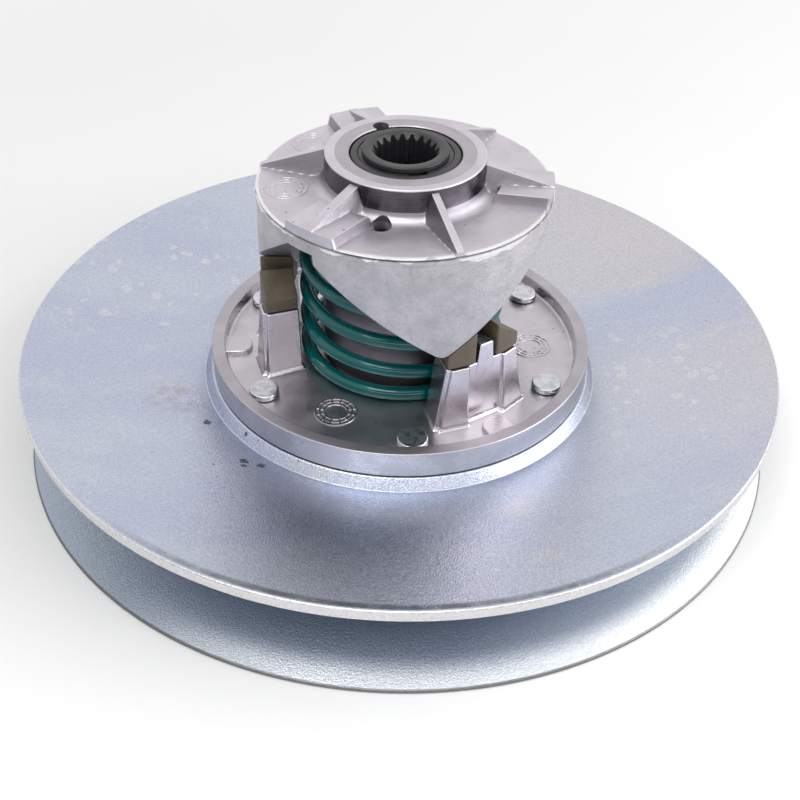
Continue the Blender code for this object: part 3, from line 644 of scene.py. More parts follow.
FLASH_BRIGHT = (0.82, 0.81, 0.82)
# Painted shade in the groove under the cam's rim
RIM_GROOVE_SHADE_TINT = (0.75, (0.16, 0.15, 0.17))
WALL_SATIN = (0.54, 0.30)
WALL_RELIEF = ((0.00022, dict(scale=1100, detail=4, roughness=0.65)), (0.0003, dict(scale=260)))


def painted_shade_walls(cast):
    """Mask of painted shade on the rib flanks and the fillet on the cam, darker the steeper the
    face.
    """
    apart = cast.shaft_distance()
    return cast.product(
        cast.ramp(cast.facing_up(), *SHADE_SLOPE_RANGE),
        cast.ramp(apart, CAM_RADIUS - 3 * NEAR, CAM_RADIUS - 8 * NEAR),
        cast.ramp(apart, HUB_RING_RADIUS - NEAR, HUB_RING_RADIUS + 2 * NEAR),
        cast.ramp(cast.height(), PLATE_TOP - NEAR, PLATE_TOP),
    )


def cast_material(name, shades, roughness):
    """Tumbled casting: mottled, with pores, a coarse grain and painted shade on the cam's steep
    walls.
    """
    cast = Surface(name, metallic=1.0)
    colour = cast.mix(cast.patches(**CAST_MOTTLE), *shades)
    colour = cast.tint(colour, cast.spots(where=cast.shaken(*PORE_SHAKE), **PORES), *PORE_TINT)
    # painted shade on the cam's steep walls
    colour = cast.tint(colour, painted_shade_walls(cast), *STEEP_SHADE_TINT)
    finest, coarsest = roughness - CAST_SMOOTHER, roughness + CAST_ROUGHER
    satin = cast.patches(to_low=finest, to_high=coarsest, **CAST_SATIN)
    return cast.complete(colour, satin, cast.bumps(*CAST_RELIEF))


def lobe_material():
    """Outer wall of the cam: matte, scratched, with a bright broken edge under the rim and painted
    shade in the rim's groove.
    """
    wall = Surface("cam_wall", metallic=1.0)
    colour = wall.mix(wall.patches(**WALL_MOTTLE), *WALL_SHADES)
    colour = wall.tint(colour, wall.patches(**SPECKLE), *SPECKLE_TINT)
    drawn = wall.stretched(SCRATCH_TURN, SCRATCH_STRETCH)
    colour = wall.tint(colour, wall.patches(where=drawn, **SCRATCHES), *SCRATCH_TINT)
    height = wall.height()
    level = wall.chain("ADD", height, wall.product(wall.noise(**FLASH_WAVES), FLASH_WAVER))
    flash = PLATE_TOP - FLASH_DEPTH + FLASH_WAVER / 2
    edge = wall.ramp(level, flash, flash + NEAR)
    colour = wall.mix(edge, colour, FLASH_BRIGHT)
    # painted shade in the groove under the rim
    groove_top = PLATE_TOP - RIM_GROOVE_TOP
    groove = wall.product(wall.ramp(height, groove_top + NEAR / 2, groove_top),
                          wall.ramp(height, PLATE_TOP - RIM_EDGE, PLATE_TOP - RIM_GROOVE_END))
    colour = wall.tint(colour, groove, *RIM_GROOVE_SHADE_TINT)
    return wall.complete(colour, wall.ramp(edge, 0, 1, *WALL_SATIN), wall.bumps(*WALL_RELIEF))


# Machined, blackened and riveted metal
SKIRT_SHADES = ((0.50, 0.50, 0.535), (0.43, 0.43, 0.465))
FACE_SHADES = ((0.50, 0.465, 0.50), (0.43, 0.40, 0.44))
# Boss behind the spring: darker shades that paint the shade it stands in
SHADED_BOSS_SHADES = ((0.34, 0.33, 0.36), (0.26, 0.25, 0.28))
# Neck of the cam's hub ring: near-black shades that paint its shade
SHADED_NECK_SHADES = ((0.115, 0.103, 0.125), (0.045, 0.041, 0.053))
BRONZE_SHADES = ((0.45, 0.30, 0.14), (0.36, 0.23, 0.11))
MACHINED_CLOUDS = dict(scale=60, detail=4, low=0.35, high=0.65)
MACHINED_ROUGHER = 0.08
MACHINED_RELIEF = (0.00003, dict(scale=1200, detail=2))
TOOL_LINES = 5200
TOOL_LINE_SHARE = (0.3, 0.7, 0, 0.22)
TOOL_LINE_GREY = (0.30, 0.29, 0.30)
TOOL_LINE_DEPTH = 0.00004
OXIDE_SHADES = ((0.022, 0.020, 0.023), (0.07, 0.066, 0.07))
OXIDE_WEAR = dict(scale=500, detail=5, roughness=0.7, low=0.60, high=0.75, to_high=0.5)
OXIDE_SATIN = dict(scale=180, low=0.3, high=0.7, to_low=0.24, to_high=0.38)
OXIDE_LINES = 4200
OXIDE_RELIEF = (0.00005, dict(scale=1500, detail=2))
RIVET_SHADES = ((0.66, 0.66, 0.70), (0.52, 0.53, 0.57))
RIVET_MARKS = dict(scale=420, detail=4, roughness=0.65)
RIVET_MARK_RANGE = (0.4, 0.65)
RIVET_MARK_DEPTH = 0.00007
RIVET_SATIN = (0.3, 0.7, 0.22, 0.40)
RIVET_RELIEF = (0.00003, dict(scale=1800, detail=2))


def machined_material(name, shades, roughness):
    """Turned metal with fine tool lines around the shaft."""
    metal = Surface(name, metallic=1.0)
    lines = metal.turning_lines(TOOL_LINES)
    cloud = metal.patches(**MACHINED_CLOUDS)
    colour = metal.mix(cloud, *shades)
    colour = metal.mix(metal.ramp(lines, *TOOL_LINE_SHARE), colour, TOOL_LINE_GREY)
    satin = metal.ramp(cloud, 0, 1, roughness, roughness + MACHINED_ROUGHER)
    return metal.complete(colour, satin, [(lines, TOOL_LINE_DEPTH)] + metal.bumps(MACHINED_RELIEF))


def black_material():
    """Black oxide on steel, satin, with worn grey edges here and there."""
    oxide = Surface("black_oxide", metallic=0.0)
    colour = oxide.mix(oxide.patches(**OXIDE_WEAR), *OXIDE_SHADES)
    bumps = [(oxide.turning_lines(OXIDE_LINES), TOOL_LINE_DEPTH)] + oxide.bumps(OXIDE_RELIEF)
    return oxide.complete(colour, oxide.patches(**OXIDE_SATIN), bumps)


def rivet_material():
    """Bright rivet steel with pressed marks."""
    steel = Surface("rivet_steel", metallic=1.0)
    marks = steel.noise(**RIVET_MARKS)
    colour = steel.mix(steel.ramp(marks, *RIVET_MARK_RANGE), *RIVET_SHADES)
    bumps = [(marks, RIVET_MARK_DEPTH)] + steel.bumps(RIVET_RELIEF)
    return steel.complete(colour, steel.ramp(marks, *RIVET_SATIN), bumps)


# Plastic and paint
OLIVE_SHADES = ((0.078, 0.061, 0.039), (0.112, 0.089, 0.060))
OLIVE_MOTTLE = dict(scale=160, detail=5, roughness=0.7, low=0.3, high=0.7)
OLIVE_SATIN = (0.36, 0.50)
OLIVE_RELIEF = (0.00010, dict(scale=900))
TEAL_SHADES = ((0.0, 0.076, 0.080), (0.001, 0.100, 0.100))
TEAL_FINISH = dict(metallic=0.0, coat_weight=0.25, coat_roughness=0.05, specular_ior_level=0.35)
TEAL_DRIFT = dict(scale=60, low=0.3, high=0.7)
TEAL_GLOSS = (0.07, 0.12)
TEAL_RELIEF = (0.00005, dict(scale=420, detail=2))
DUST = dict(scale=500, size=0.12, rarity=0.93)
DUST_TINT = (0.4, (0.25, 0.33, 0.32))


def plastic_material():
    """Moulded olive plastic, slightly mottled."""
    plastic = Surface("olive_plastic", metallic=0.0)
    mottle = plastic.patches(**OLIVE_MOTTLE)
    colour = plastic.mix(mottle, *OLIVE_SHADES)
    satin = plastic.ramp(mottle, 0, 1, *OLIVE_SATIN)
    return plastic.complete(colour, satin, plastic.bumps(OLIVE_RELIEF))


def paint_material():
    """Teal gloss paint over wire, with dust and a faint orange peel."""
    paint = Surface("teal_gloss", **TEAL_FINISH)
    drift = paint.patches(**TEAL_DRIFT)
    colour = paint.tint(paint.mix(drift, *TEAL_SHADES), paint.spots(**DUST), *DUST_TINT)
    return paint.complete(colour, paint.ramp(drift, 0, 1, *TEAL_GLOSS), paint.bumps(TEAL_RELIEF))


zinc = zinc_material()
cast_hub = cast_material("cast_hub", HUB_SHADES, roughness=0.22)
cast_floor = cast_material("cast_floor", HUB_SHADES, roughness=0.33)
cast_cam = cast_material("cast_cam", CAM_SHADES, roughness=0.40)
cam_wall = lobe_material()
machined_skirt = machined_material("machined_skirt", SKIRT_SHADES, roughness=0.24)
machined_face = machined_material("machined_face", FACE_SHADES, roughness=0.34)
# Machined boss, darkened with painted shade
boss_painted_shade = machined_material("boss_painted_shade", SHADED_BOSS_SHADES, roughness=0.40)
# Turned neck, darkened with painted shade
neck_painted_shade = machined_material("neck_painted_shade", SHADED_NECK_SHADES, roughness=0.14)
bronze = machined_material("sintered_bronze", BRONZE_SHADES, roughness=0.42)
black = black_material()
rivet_steel = rivet_material()
olive = plastic_material()
teal = paint_material()


# Sheaves and the hub of the lower one

def build_sheaves():
    """Upper and lower sheave with rounded rims, bends and a filleted collar."""
    drop = COLLAR_FOOT_RADIUS - SHEET * BELT_SLOPE
    run = COLLAR_FOOT_RADIUS - COLLAR_TOP_RADIUS
    bore = SPIGOT_RADIUS + CLEARANCE
    upper = [
        (SHEAVE_RADIUS, MOVABLE_RIM_TOP, ROLLED),
        (SHEAVE_RADIUS, MOVABLE_RIM, ROLLED),
        (drop, MOVABLE_RIM - BELT_SLOPE * (SHEAVE_RADIUS - drop), FILLET),
        (drop - run, LAND_TOP - SHEET, WIDE_FILLET),
        (bore, LAND_TOP - SHEET, CRISP),
        (bore, LAND_TOP, CRISP),
        (COLLAR_TOP_RADIUS, LAND_TOP, ROLLED),
        (COLLAR_FOOT_RADIUS, COLLAR_FOOT, EASED),
    ]
    mesh = turned_mesh(upper, DISC_STEPS)
    place("movable_sheave_disc", mesh, "movable_assembly", "zinc_sheave", "movable_sheave", zinc)
    faced = SHEAVE_RADIUS - (SHEET - FIXED_RIM_EDGE) / BELT_SLOPE
    fixed_bore = FIXED_HUB_RADIUS + CLEARANCE
    lower = [
        (SHEAVE_RADIUS, FIXED_RIM_EDGE, KEEN),
        (SHEAVE_RADIUS, 0, FINE),
        (faced, 0, EASED),
        (COLLAR_FOOT_RADIUS, FIXED_LAND - SHEET, BEND),
        (fixed_bore, FIXED_LAND - SHEET, CRISP),
        (fixed_bore, FIXED_LAND, CRISP),
        (COLLAR_FOOT_RADIUS, FIXED_LAND, BEND),
    ]
    mesh = turned_mesh(lower, DISC_STEPS)
    place("fixed_sheave_disc", mesh, "fixed_assembly", "zinc_sheave", "fixed_sheave", zinc)


def build_fixed_hub():
    """Flanged hub under the lower sheave."""
    flange_top = FIXED_LAND - SHEET - CLEARANCE
    corners = [
        (BORE_RADIUS, BOSS_BOTTOM - CLEARANCE, FINE),
        (BORE_RADIUS, FIXED_HUB_RISE, EASED),
        (FIXED_HUB_RADIUS, FIXED_HUB_RISE, SOFT),
        (FIXED_HUB_RADIUS, flange_top - FIXED_FLANGE_THICKNESS, FILLET),
        (FIXED_FLANGE_RADIUS, flange_top - FIXED_FLANGE_THICKNESS, EASED),
        (FIXED_FLANGE_RADIUS, flange_top, FINE),
        (FIXED_HUB_RADIUS, flange_top, FINE),
        (FIXED_HUB_RADIUS, BOSS_BOTTOM - CLEARANCE, KEEN),
    ]
    mesh = turned_mesh(corners, BODY_STEPS)
    place("fixed_hub_body", mesh, "fixed_assembly", "zinc_sheave", "fixed_hub", machined_face)


# Rivets
RIVET_COUNT = 6
RIVET_AZIMUTH = TOWER_AZIMUTH + math.radians(30)
RIVET_HEAD = 0.0051
RIVET_HEIGHT = 0.0022
RIVET_EDGE = 0.0005
RIVET_TAIL = 0.0045
RIVET_SHANK = 0.003
RIVET_DISH = 0.00012
RIVET_DISH_RINGS = (0.85, 0.6, 0.3)


def rivet_levels(bottom, top):
    """Rings of a rivet from its tail to a head with a rounded edge and a slightly hollow top."""
    tail = bottom - CLEARANCE
    head = top + CLEARANCE
    crest = head + RIVET_HEIGHT
    levels = [
        (RIVET_TAIL - RIVET_EDGE, tail - RIVET_HEIGHT),
        (RIVET_TAIL, tail - RIVET_HEIGHT + RIVET_EDGE),
        (RIVET_TAIL, tail),
        (RIVET_SHANK, tail),
        (RIVET_SHANK, head),
        (RIVET_HEAD - RIVET_EDGE / 2, head),
        (RIVET_HEAD, head + RIVET_EDGE / 2),
    ]
    levels.extend(edge_rings(RIVET_HEAD, crest, RIVET_EDGE))
    for share in RIVET_DISH_RINGS:
        levels.append(((RIVET_HEAD - RIVET_EDGE) * share, crest - RIVET_DISH * (1 - share * share)))
    return levels


def build_rivets(prefix, body, circle, bottom, top):
    """One circle of rivets."""
    levels = rivet_levels(bottom, top)
    for number, turn in enumerate(steps_around(RIVET_COUNT), start=1):
        mesh = stacked_mesh(levels, polar(circle, RIVET_AZIMUTH + turn, 0))
        node = f"{prefix}_{number}"
        place(node + "_form", mesh, body, "bright_steel", node, rivet_steel)


# Plain ring marks of the casting moulds, placed by radius and degrees
MARK_RINGS = (0.0040, 0.0055, 0.0070)
MARK_LINE = 0.00030
MARK_FLANK = 0.00012
MARK_HOLE = 0.0002
MARK_LIFT = 0.00003
MARK_ROOT = 0.0005
MARK_SPOKES = 12
MARK_TURNS = (-15, -6, -3.7, -2.5, 0, 2.5, 3.7, 6)
MARK_SPOKE_TURN = 3
HUB_MARK_RIDGE = 0.00030
HUB_MARKS = ((0.0460, -43.5), (0.0472, 74.5))
CAM_MARK_RIDGE = 0.00014
CAM_MARKS = ((0.0395, -95.5), (0.0412, -144.0))


def mark_section(centre, azimuth, turn, ridge):
    """Radial cut through a mark: its rings, and a spoke where the turn is close to one."""
    spoke = ridge if abs(turn) < MARK_SPOKE_TURN else MARK_LIFT
    outermost = MARK_RINGS[-1]
    profile = [(MARK_HOLE, -MARK_ROOT), (MARK_HOLE, MARK_LIFT)]
    before = MARK_LIFT
    for ring in MARK_RINGS:
        after = MARK_LIFT if ring == outermost else spoke
        profile.append((ring - MARK_LINE - MARK_FLANK, before))
        profile.append((ring - MARK_LINE, ridge))
        profile.append((ring + MARK_LINE, ridge))
        profile.append((ring + MARK_LINE + MARK_FLANK, after))
        before = after
    profile.append((outermost + MARK_LINE + 2 * MARK_FLANK, -MARK_ROOT))
    return [centre + polar(radius, azimuth, height) for radius, height in profile]


def mark_meshes(places, floor, ridge):
    """Wheels of three raised rings and twelve spokes."""
    meshes = []
    for circle, degrees in places:
        centre = polar(circle, math.radians(degrees), floor)
        sections = []
        for middle in steps_around(MARK_SPOKES):
            for turn in MARK_TURNS:
                sections.append(mark_section(centre, middle + math.radians(turn), turn, ridge))
        meshes.append(loft_mesh(sections, True))
    return meshes


# Slider hub, with the angles of its towers in degrees
FLARE = 0.0024
TOP_EDGE = 0.0005
FLARE_START = -0.0006
RING_DRAFT = 0.0004
FOOT_ANGLE = 21.3
HEAD_ANGLE = 16.9
WEB_EDGE_ANGLE = 8.2
WEB_EDGE_LEAN = 0.6
REBATE_ANGLE = 1.7
REBATE_DEPTH = 0.0013
BUTTRESS_DRAFT = 0.0017
INNER_FLARE = 0.0012
INNER_STATIONS = (0.66, 0.33)
WEB_DRAFT = 0.0005
WEB_HALF_ANGLE = 4.3
WEB_HALF_TOP_ANGLE = 3.0
WEB_PROUD = 0.00004
WEB_ROOT = 0.004
PAD_WIDTH = 0.010
PAD_REACH = 0.0097
PAD_HEIGHT = 0.0015
PAD_ROOT = 0.002
HUB_CAST, HUB_SKIRT, HUB_BOSS, HUB_RING_FACE, HUB_FLOOR_SKIN = range(5)


def stack_levels(bottom, top, flare):
    """Heights with the outward offset that gives a flared foot and a rounded top edge."""
    levels = [(bottom, 0)]
    if flare > 0:
        levels = [(bottom + flare * (1 - cosine), flare * (1 - sine))
                  for sine, cosine in quarter_turn()]
    for sine, cosine in quarter_turn():
        levels.append((top - TOP_EDGE * (1 - sine), -TOP_EDGE * (1 - cosine)))
    return levels


def raised_mesh(azimuth, outline, bottom, top, flare):
    """Block on a flared foot, from its outline in plan at each share of its height."""
    along = polar(1, azimuth, 0)
    across = Vector((-along.y, along.x, 0))
    sections = []
    for height, offset in stack_levels(bottom, top, flare):
        points = rounded(outline((height - bottom) / (top - bottom), offset))
        sections.append([along * x + across * y + Vector((0, 0, height)) for x, y in points])
    return loft_mesh(sections, False)


def plan(angle, radius, shift, fillet):
    """Plan corner at an angle in degrees from a tower's axis, shifted sideways."""
    turn = math.radians(angle) + shift / radius
    return (radius * math.cos(turn), radius * math.sin(turn), fillet)


def mirrored(half):
    """Closed plan from the corners on one side of its axis."""
    return half + [(x, -y, fillet) for x, y, fillet in reversed(half)]


def buttress_outline(share, grow):
    """Plan of a tower: two buttresses with rebated ends and a recessed web between."""
    end = FOOT_ANGLE + (HEAD_ANGLE - FOOT_ANGLE) * share
    outer = BUTTRESS_RADIUS - BUTTRESS_DRAFT * share + grow
    web = WEB_RADIUS - WEB_DRAFT * share + grow
    inner = TOWER_INNER - min(grow, INNER_FLARE)
    half = [
        plan(WEB_EDGE_ANGLE - WEB_EDGE_LEAN, web, -grow, FULL),
        plan(WEB_EDGE_ANGLE, outer, -grow, EASED),
        plan(end - REBATE_ANGLE, outer, grow, KEEN),
        plan(end - REBATE_ANGLE, outer - REBATE_DEPTH, grow, KEEN),
        plan(end, outer - REBATE_DEPTH, grow, EASED),
        plan(end, inner, grow, EASED),
    ]
    half.extend(plan(end * station, inner, 0, 0) for station in INNER_STATIONS)
    return mirrored(half)


def web_outline(share, grow):
    """Plan of the taller web between the two shoes."""
    half = WEB_HALF_ANGLE + (WEB_HALF_TOP_ANGLE - WEB_HALF_ANGLE) * share
    outer = WEB_RADIUS - WEB_DRAFT + WEB_PROUD + grow
    return mirrored([plan(half, outer, grow, KEEN), plan(half, TOWER_INNER - grow, grow, KEEN)])


def pad_outline(share, grow):
    """Plan of a half-round pad that grows out of the ring, the same at every height."""
    half = PAD_WIDTH / 2 + grow
    root = RING_INNER + PAD_ROOT
    tip = RING_INNER - PAD_REACH - grow
    return [(root, -half, 0), (root, half, 0), (tip, half, half), (tip, -half, half)]


def hub_face_kind(face):
    """Machined skirt, boss and ring face, the boss darker with painted shade, cast floor and
    casting everywhere else.
    """
    radius = face_radius(face)
    height = face.center.z
    if radius > SKIRT_RADIUS - NEAR and height < RING_TOP - 2 * NEAR:
        return HUB_SKIRT
    if radius < BOSS_RADIUS + NEAR:
        return HUB_BOSS
    if radius > RING_INNER - NEAR / 2 and height > RING_TOP - NEAR:
        return HUB_RING_FACE
    if height < HUB_FLOOR + HUB_MARK_RIDGE:
        return HUB_FLOOR_SKIN
    return HUB_CAST


def build_slider_hub():
    """Casting with flange, ring, boss, three towers and half-round pads."""
    corners = [
        (BOSS_BORE, BOSS_BOTTOM, KEEN),
        (BOSS_RADIUS, BOSS_BOTTOM, SOFT),
        (BOSS_RADIUS, SPIGOT_BOTTOM, SOFT),
        (SPIGOT_RADIUS, SPIGOT_BOTTOM, EASED),
        (SPIGOT_RADIUS, FLANGE_BOTTOM, CRISP),
        (SKIRT_RADIUS, FLANGE_BOTTOM, FINE),
        (SKIRT_RADIUS, RING_TOP, KEEN),
        (RING_INNER, RING_TOP, EASED),
        (RING_INNER - RING_DRAFT, HUB_FLOOR, FILLET),
        (BOSS_RADIUS, HUB_FLOOR, WIDE_FILLET),
        (BOSS_RADIUS, BOSS_TOP, FULL),
        (BOSS_BORE, BOSS_TOP, EASED),
    ]
    foot = HUB_FLOOR + FLARE_START
    raised = []
    for turn in thirds():
        azimuth = turn + TOWER_AZIMUTH
        raised.append(raised_mesh(azimuth, buttress_outline, foot, SEAT, FLARE))
        raised.append(raised_mesh(azimuth, web_outline, SEAT - WEB_ROOT, WEB_TOP, 0))
        raised.append(raised_mesh(azimuth, pad_outline, foot, HUB_FLOOR + PAD_HEIGHT, TOP_EDGE))
    raised.extend(mark_meshes(HUB_MARKS, HUB_FLOOR, HUB_MARK_RIDGE))
    mesh = combine(turned_mesh(corners, BODY_STEPS), raised, "UNION")
    paint_faces(mesh, hub_face_kind)
    hub = place("slider_hub_casting", mesh, "movable_assembly", "cast_aluminium", "slider_hub",
                cast_hub, machined_skirt, boss_painted_shade, machined_face, cast_floor)
    even_shading(hub)


# Shoes
SHOE_INNER_ANGLE = math.radians(4.85)
SHOE_EDGE = 0.0006
SHOE_STATIONS = 14


def shoe_section(azimuth, away, inset):
    """Cross-section of a shoe, its top parallel to the ramps, drawn in by an inset."""
    top = SHOE_PEAK - LEAD * away - inset
    corners = block(SHOE_INNER + inset, SHOE_OUTER - inset, SHOE_BOTTOM + inset, top, SHOE_EDGE)
    return [polar(x, azimuth, y) for x, y in rounded(corners)]


def shoe_mesh(middle, side):
    """Shoe on the left (-1) or right (+1) seat of a tower, with rounded edges all round."""
    edge = SHOE_EDGE / SHOE_INNER
    arc = [(edge * (1 - sine), SHOE_EDGE * (1 - cosine)) for sine, cosine in quarter_turn()]
    span = SHOE_FOOT - SHOE_INNER_ANGLE - 2 * edge
    stations = [(SHOE_FOOT - back, inset) for back, inset in reversed(arc[:-1])]
    for step in range(SHOE_STATIONS + 1):
        stations.append((SHOE_FOOT - edge - span * step / SHOE_STATIONS, 0))
    stations.extend((SHOE_INNER_ANGLE + back, inset) for back, inset in arc[1:])
    sections = [shoe_section(middle + side * away, away, inset) for away, inset in stations]
    return loft_mesh(sections, False)


def build_shoes():
    """Six shoes, two on each tower."""
    for number, turn in enumerate(thirds(), start=1):
        for label, side in (("left", -1), ("right", 1)):
            node = f"slider_shoe_{number}_{label}"
            mesh = shoe_mesh(turn + TOWER_AZIMUTH, side)
            place(node + "_form", mesh, "movable_assembly", "shoe_plastic", node, olive)


# Cam
HUB_FILLET = 0.0048
HUB_EDGE = 0.0006
HUB_BAND = 0.0033
HUB_STEP = 0.0003
HUB_DROP = 0.0048
RIM_STEP = 0.0003
NARROW_RIBS = math.radians(4.7)
WIDE_RIBS = math.radians(-53.3)
RIB_HALF = 0.0012
WIDE_RIB_HALF = 0.0017
RIB_FLANK = 3.2
RIB_TOP_DROP = 0.0016
RIB_RIM_HEIGHT = 0.0007
PAD_TOP = 0.0034
PAD_FALL = 0.0003
PAD_HALF = 0.00925
PAD_START = 0.03185
PAD_FLANK = 4.0
SOFT_JOIN = 0.0010
SOFT_EDGE = 0.0005
LOBE_PITCH = 2 * math.pi / 3
LOBE_TIP = 0.0008
LOBE_SOFT = 0.0012
APEX_DROP = 0.0022
ROOF_STEP = math.radians(50.7)
WALL_EDGE = 0.0004
WALL_ROUND = 0.3
SIGHT_HOLE_AZIMUTH = math.radians(-29.6)
SIGHT_HOLE_CIRCLE = 0.03095
SIGHT_HOLE_RADIUS = 0.0034
PIN_CENTRE = polar(0.02005, math.radians(-170.6), 0)
PIN_RADIUS = 0.0024
PIN_RECESS = 0.0028
CAM_CAST, CAM_WALL, CAM_RING_FACE, CAM_NECK = range(4)
UPRIGHT = 0.4

# Mesh of the cam: stations outwards, and offsets from a rib's axis at the rim
TOP_STATIONS = 30
TOP_SPREAD = 1.25
COLUMN_STEP = math.radians(1.2)
RIB_OFFSETS = [0.0, 0.0006, 0.0010, 0.0012, 0.0014, 0.0017, 0.0020, 0.0023, 0.0027, 0.0031,
               0.0035, 0.0040, 0.0045, 0.0052, 0.0060, 0.0068, 0.0076]
PAD_OFFSETS = [0.0083, 0.0087, 0.0090, 0.00925, 0.0095, 0.0098, 0.0102, 0.0106]


def soft_max(first, second, width):
    """Larger of two heights, with a fillet where they meet."""
    blend = max(width - abs(first - second), 0) / width
    return max(first, second) + blend * blend * width / 4


def soft_min(first, second, width):
    """Smaller of two heights, with a rounded edge where they meet."""
    return -soft_max(-first, -second, width)


def rib_height(radius, side, wide):
    """Height of a rib over the plate, or of a wide rib on its pad, beside its axis."""
    share = (radius - HUB_RING_RADIUS) / (CAM_RADIUS - HUB_RING_RADIUS)
    low = PAD_TOP - PAD_FALL if wide else RIB_RIM_HEIGHT
    high = HUB_RING_TOP - RIB_TOP_DROP - PLATE_TOP
    ridge = high + (low - high) * share
    half = WIDE_RIB_HALF if wide else RIB_HALF
    height = soft_min(ridge, ridge - (abs(side) - half) * RIB_FLANK, SOFT_EDGE)
    if wide:
        top = PAD_TOP - PAD_FALL * share
        flank = top - (abs(side) - PAD_HALF) * PAD_FLANK
        inner = top - (PAD_START - radius) * PAD_FLANK
        pad = soft_min(soft_min(top, flank, SOFT_EDGE), inner, SOFT_EDGE)
        height = soft_max(height, pad, SOFT_JOIN)
    return height


def plate_height(radius, side, wide):
    """Top of the cam beside a rib's axis: plate, hub fillet, rounded rim, ribs and pads."""
    base = 0.0
    from_ring = radius - HUB_RING_RADIUS
    if from_ring < HUB_FILLET:
        base = HUB_FILLET - math.sqrt(HUB_FILLET ** 2 - (HUB_FILLET - from_ring) ** 2)
    over = max(radius - (CAM_RADIUS - RIM_EDGE), 0)
    base -= RIM_EDGE - math.sqrt(RIM_EDGE ** 2 - over ** 2)
    return PLATE_TOP + soft_max(base, rib_height(radius, side, wide), SOFT_JOIN)


def ramp_height(azimuth):
    """Underside of the cam's wall: ramps to both sides of each lobe, cut at the apex."""
    turn = azimuth % LOBE_PITCH
    away = min(turn, LOBE_PITCH - turn)
    if turn > LOBE_PITCH / 2 and away > ROOF_STEP:
        return CAM_ROOF - APEX_DROP
    height = soft_max(RAMP_ROOT + LEAD * away, RAMP_ROOT + LOBE_TIP, LOBE_SOFT)
    return min(height, CAM_ROOF - APEX_DROP)


def cam_columns():
    """Columns of the cam's mesh: rib azimuth, wide or not, angle from the rib, limits."""
    sectors = []
    for turn in thirds():
        sectors.append(((turn + NARROW_RIBS) % (2 * math.pi), False))
        sectors.append(((turn + WIDE_RIBS) % (2 * math.pi), True))
    sectors.sort()
    columns = []
    for index, (middle, wide) in enumerate(sectors):
        offsets = RIB_OFFSETS + PAD_OFFSETS if wide else RIB_OFFSETS
        aligned = [math.asin(offset / CAM_RADIUS) for offset in offsets]
        limit = aligned[-1]
        before = (middle - sectors[index - 1][0]) % (2 * math.pi) / 2
        after = (sectors[(index + 1) % len(sectors)][0] - middle) % (2 * math.pi) / 2
        angles = []
        for side, edge in ((-1, before), (1, after)):
            count = round((edge - limit) / COLUMN_STEP)
            spread = [limit + (edge - limit) * step / count for step in range(1, count + 1)]
            angles.extend((side * away, edge) for away in aligned[1:] + spread)
        angles = sorted(angles + [(0.0, before)])[1:]
        columns.extend((middle, wide, away, limit, edge) for away, edge in angles)
    return columns


def column_azimuth(radius, column):
    """Azimuth of a column at a radius: parallel to a rib close by, radial between ribs."""
    middle, wide, away, limit, edge = column
    shrink = CAM_RADIUS / max(radius, HUB_RING_RADIUS)
    if abs(away) <= limit:
        return middle + math.asin(shrink * math.sin(away))
    start = math.asin(shrink * math.sin(limit))
    turn = start + (edge - start) * (abs(away) - limit) / (edge - limit)
    return middle + math.copysign(turn, away)


def hub_ring_levels():
    """Radius and height along the cam's bore, counterbore and stepped hub ring."""
    band = HUB_RING_RADIUS - HUB_BAND
    levels = [
        (BORE_RADIUS, CAM_ROOF - HUB_DROP),
        (BORE_RADIUS, COUNTERBORE_FLOOR),
        (COUNTERBORE_RADIUS, COUNTERBORE_FLOOR),
        (COUNTERBORE_RADIUS, HUB_RING_TOP - HUB_STEP - HUB_EDGE / 2),
        (COUNTERBORE_RADIUS + HUB_EDGE / 2, HUB_RING_TOP - HUB_STEP),
        (band - HUB_STEP, HUB_RING_TOP - HUB_STEP),
        (band, HUB_RING_TOP - HUB_STEP / 2),
        (band + HUB_STEP, HUB_RING_TOP),
    ]
    for sine, cosine in quarter_turn():
        radius = HUB_RING_RADIUS - HUB_EDGE * (1 - sine)
        levels.append((radius, HUB_RING_TOP - HUB_EDGE * (1 - cosine)))
    return levels


def wall_levels(bottom):
    """Radius and height along the cam's rim, outer wall, ramp, inner wall and roof."""
    rim = PLATE_TOP - RIM_EDGE
    roof_edge = SHOE_INNER - CLEARANCE
    return [
        (CAM_RADIUS - RIM_GROOVE, PLATE_TOP - RIM_GROOVE_TOP),
        (CAM_RADIUS - RIM_GROOVE, PLATE_TOP - RIM_GROOVE_END),
        (CAM_RADIUS, rim),
        (CAM_RADIUS, rim - RIM_EDGE),
        (LOBE_OUTER, rim - RIM_EDGE - RIM_STEP),
        (LOBE_OUTER, bottom + WALL_EDGE),
        (LOBE_OUTER - WALL_EDGE * WALL_ROUND, bottom + WALL_EDGE * WALL_ROUND),
        (LOBE_OUTER - WALL_EDGE, bottom),
        (SHOE_INNER + WALL_EDGE, bottom),
        (SHOE_INNER, bottom + WALL_EDGE),
        (roof_edge, CAM_ROOF - WALL_EDGE),
        (roof_edge - WALL_EDGE, CAM_ROOF),
        (HUB_RING_RADIUS, CAM_ROOF),
        (HUB_RING_RADIUS - HUB_FILLET, CAM_ROOF - HUB_DROP),
    ]


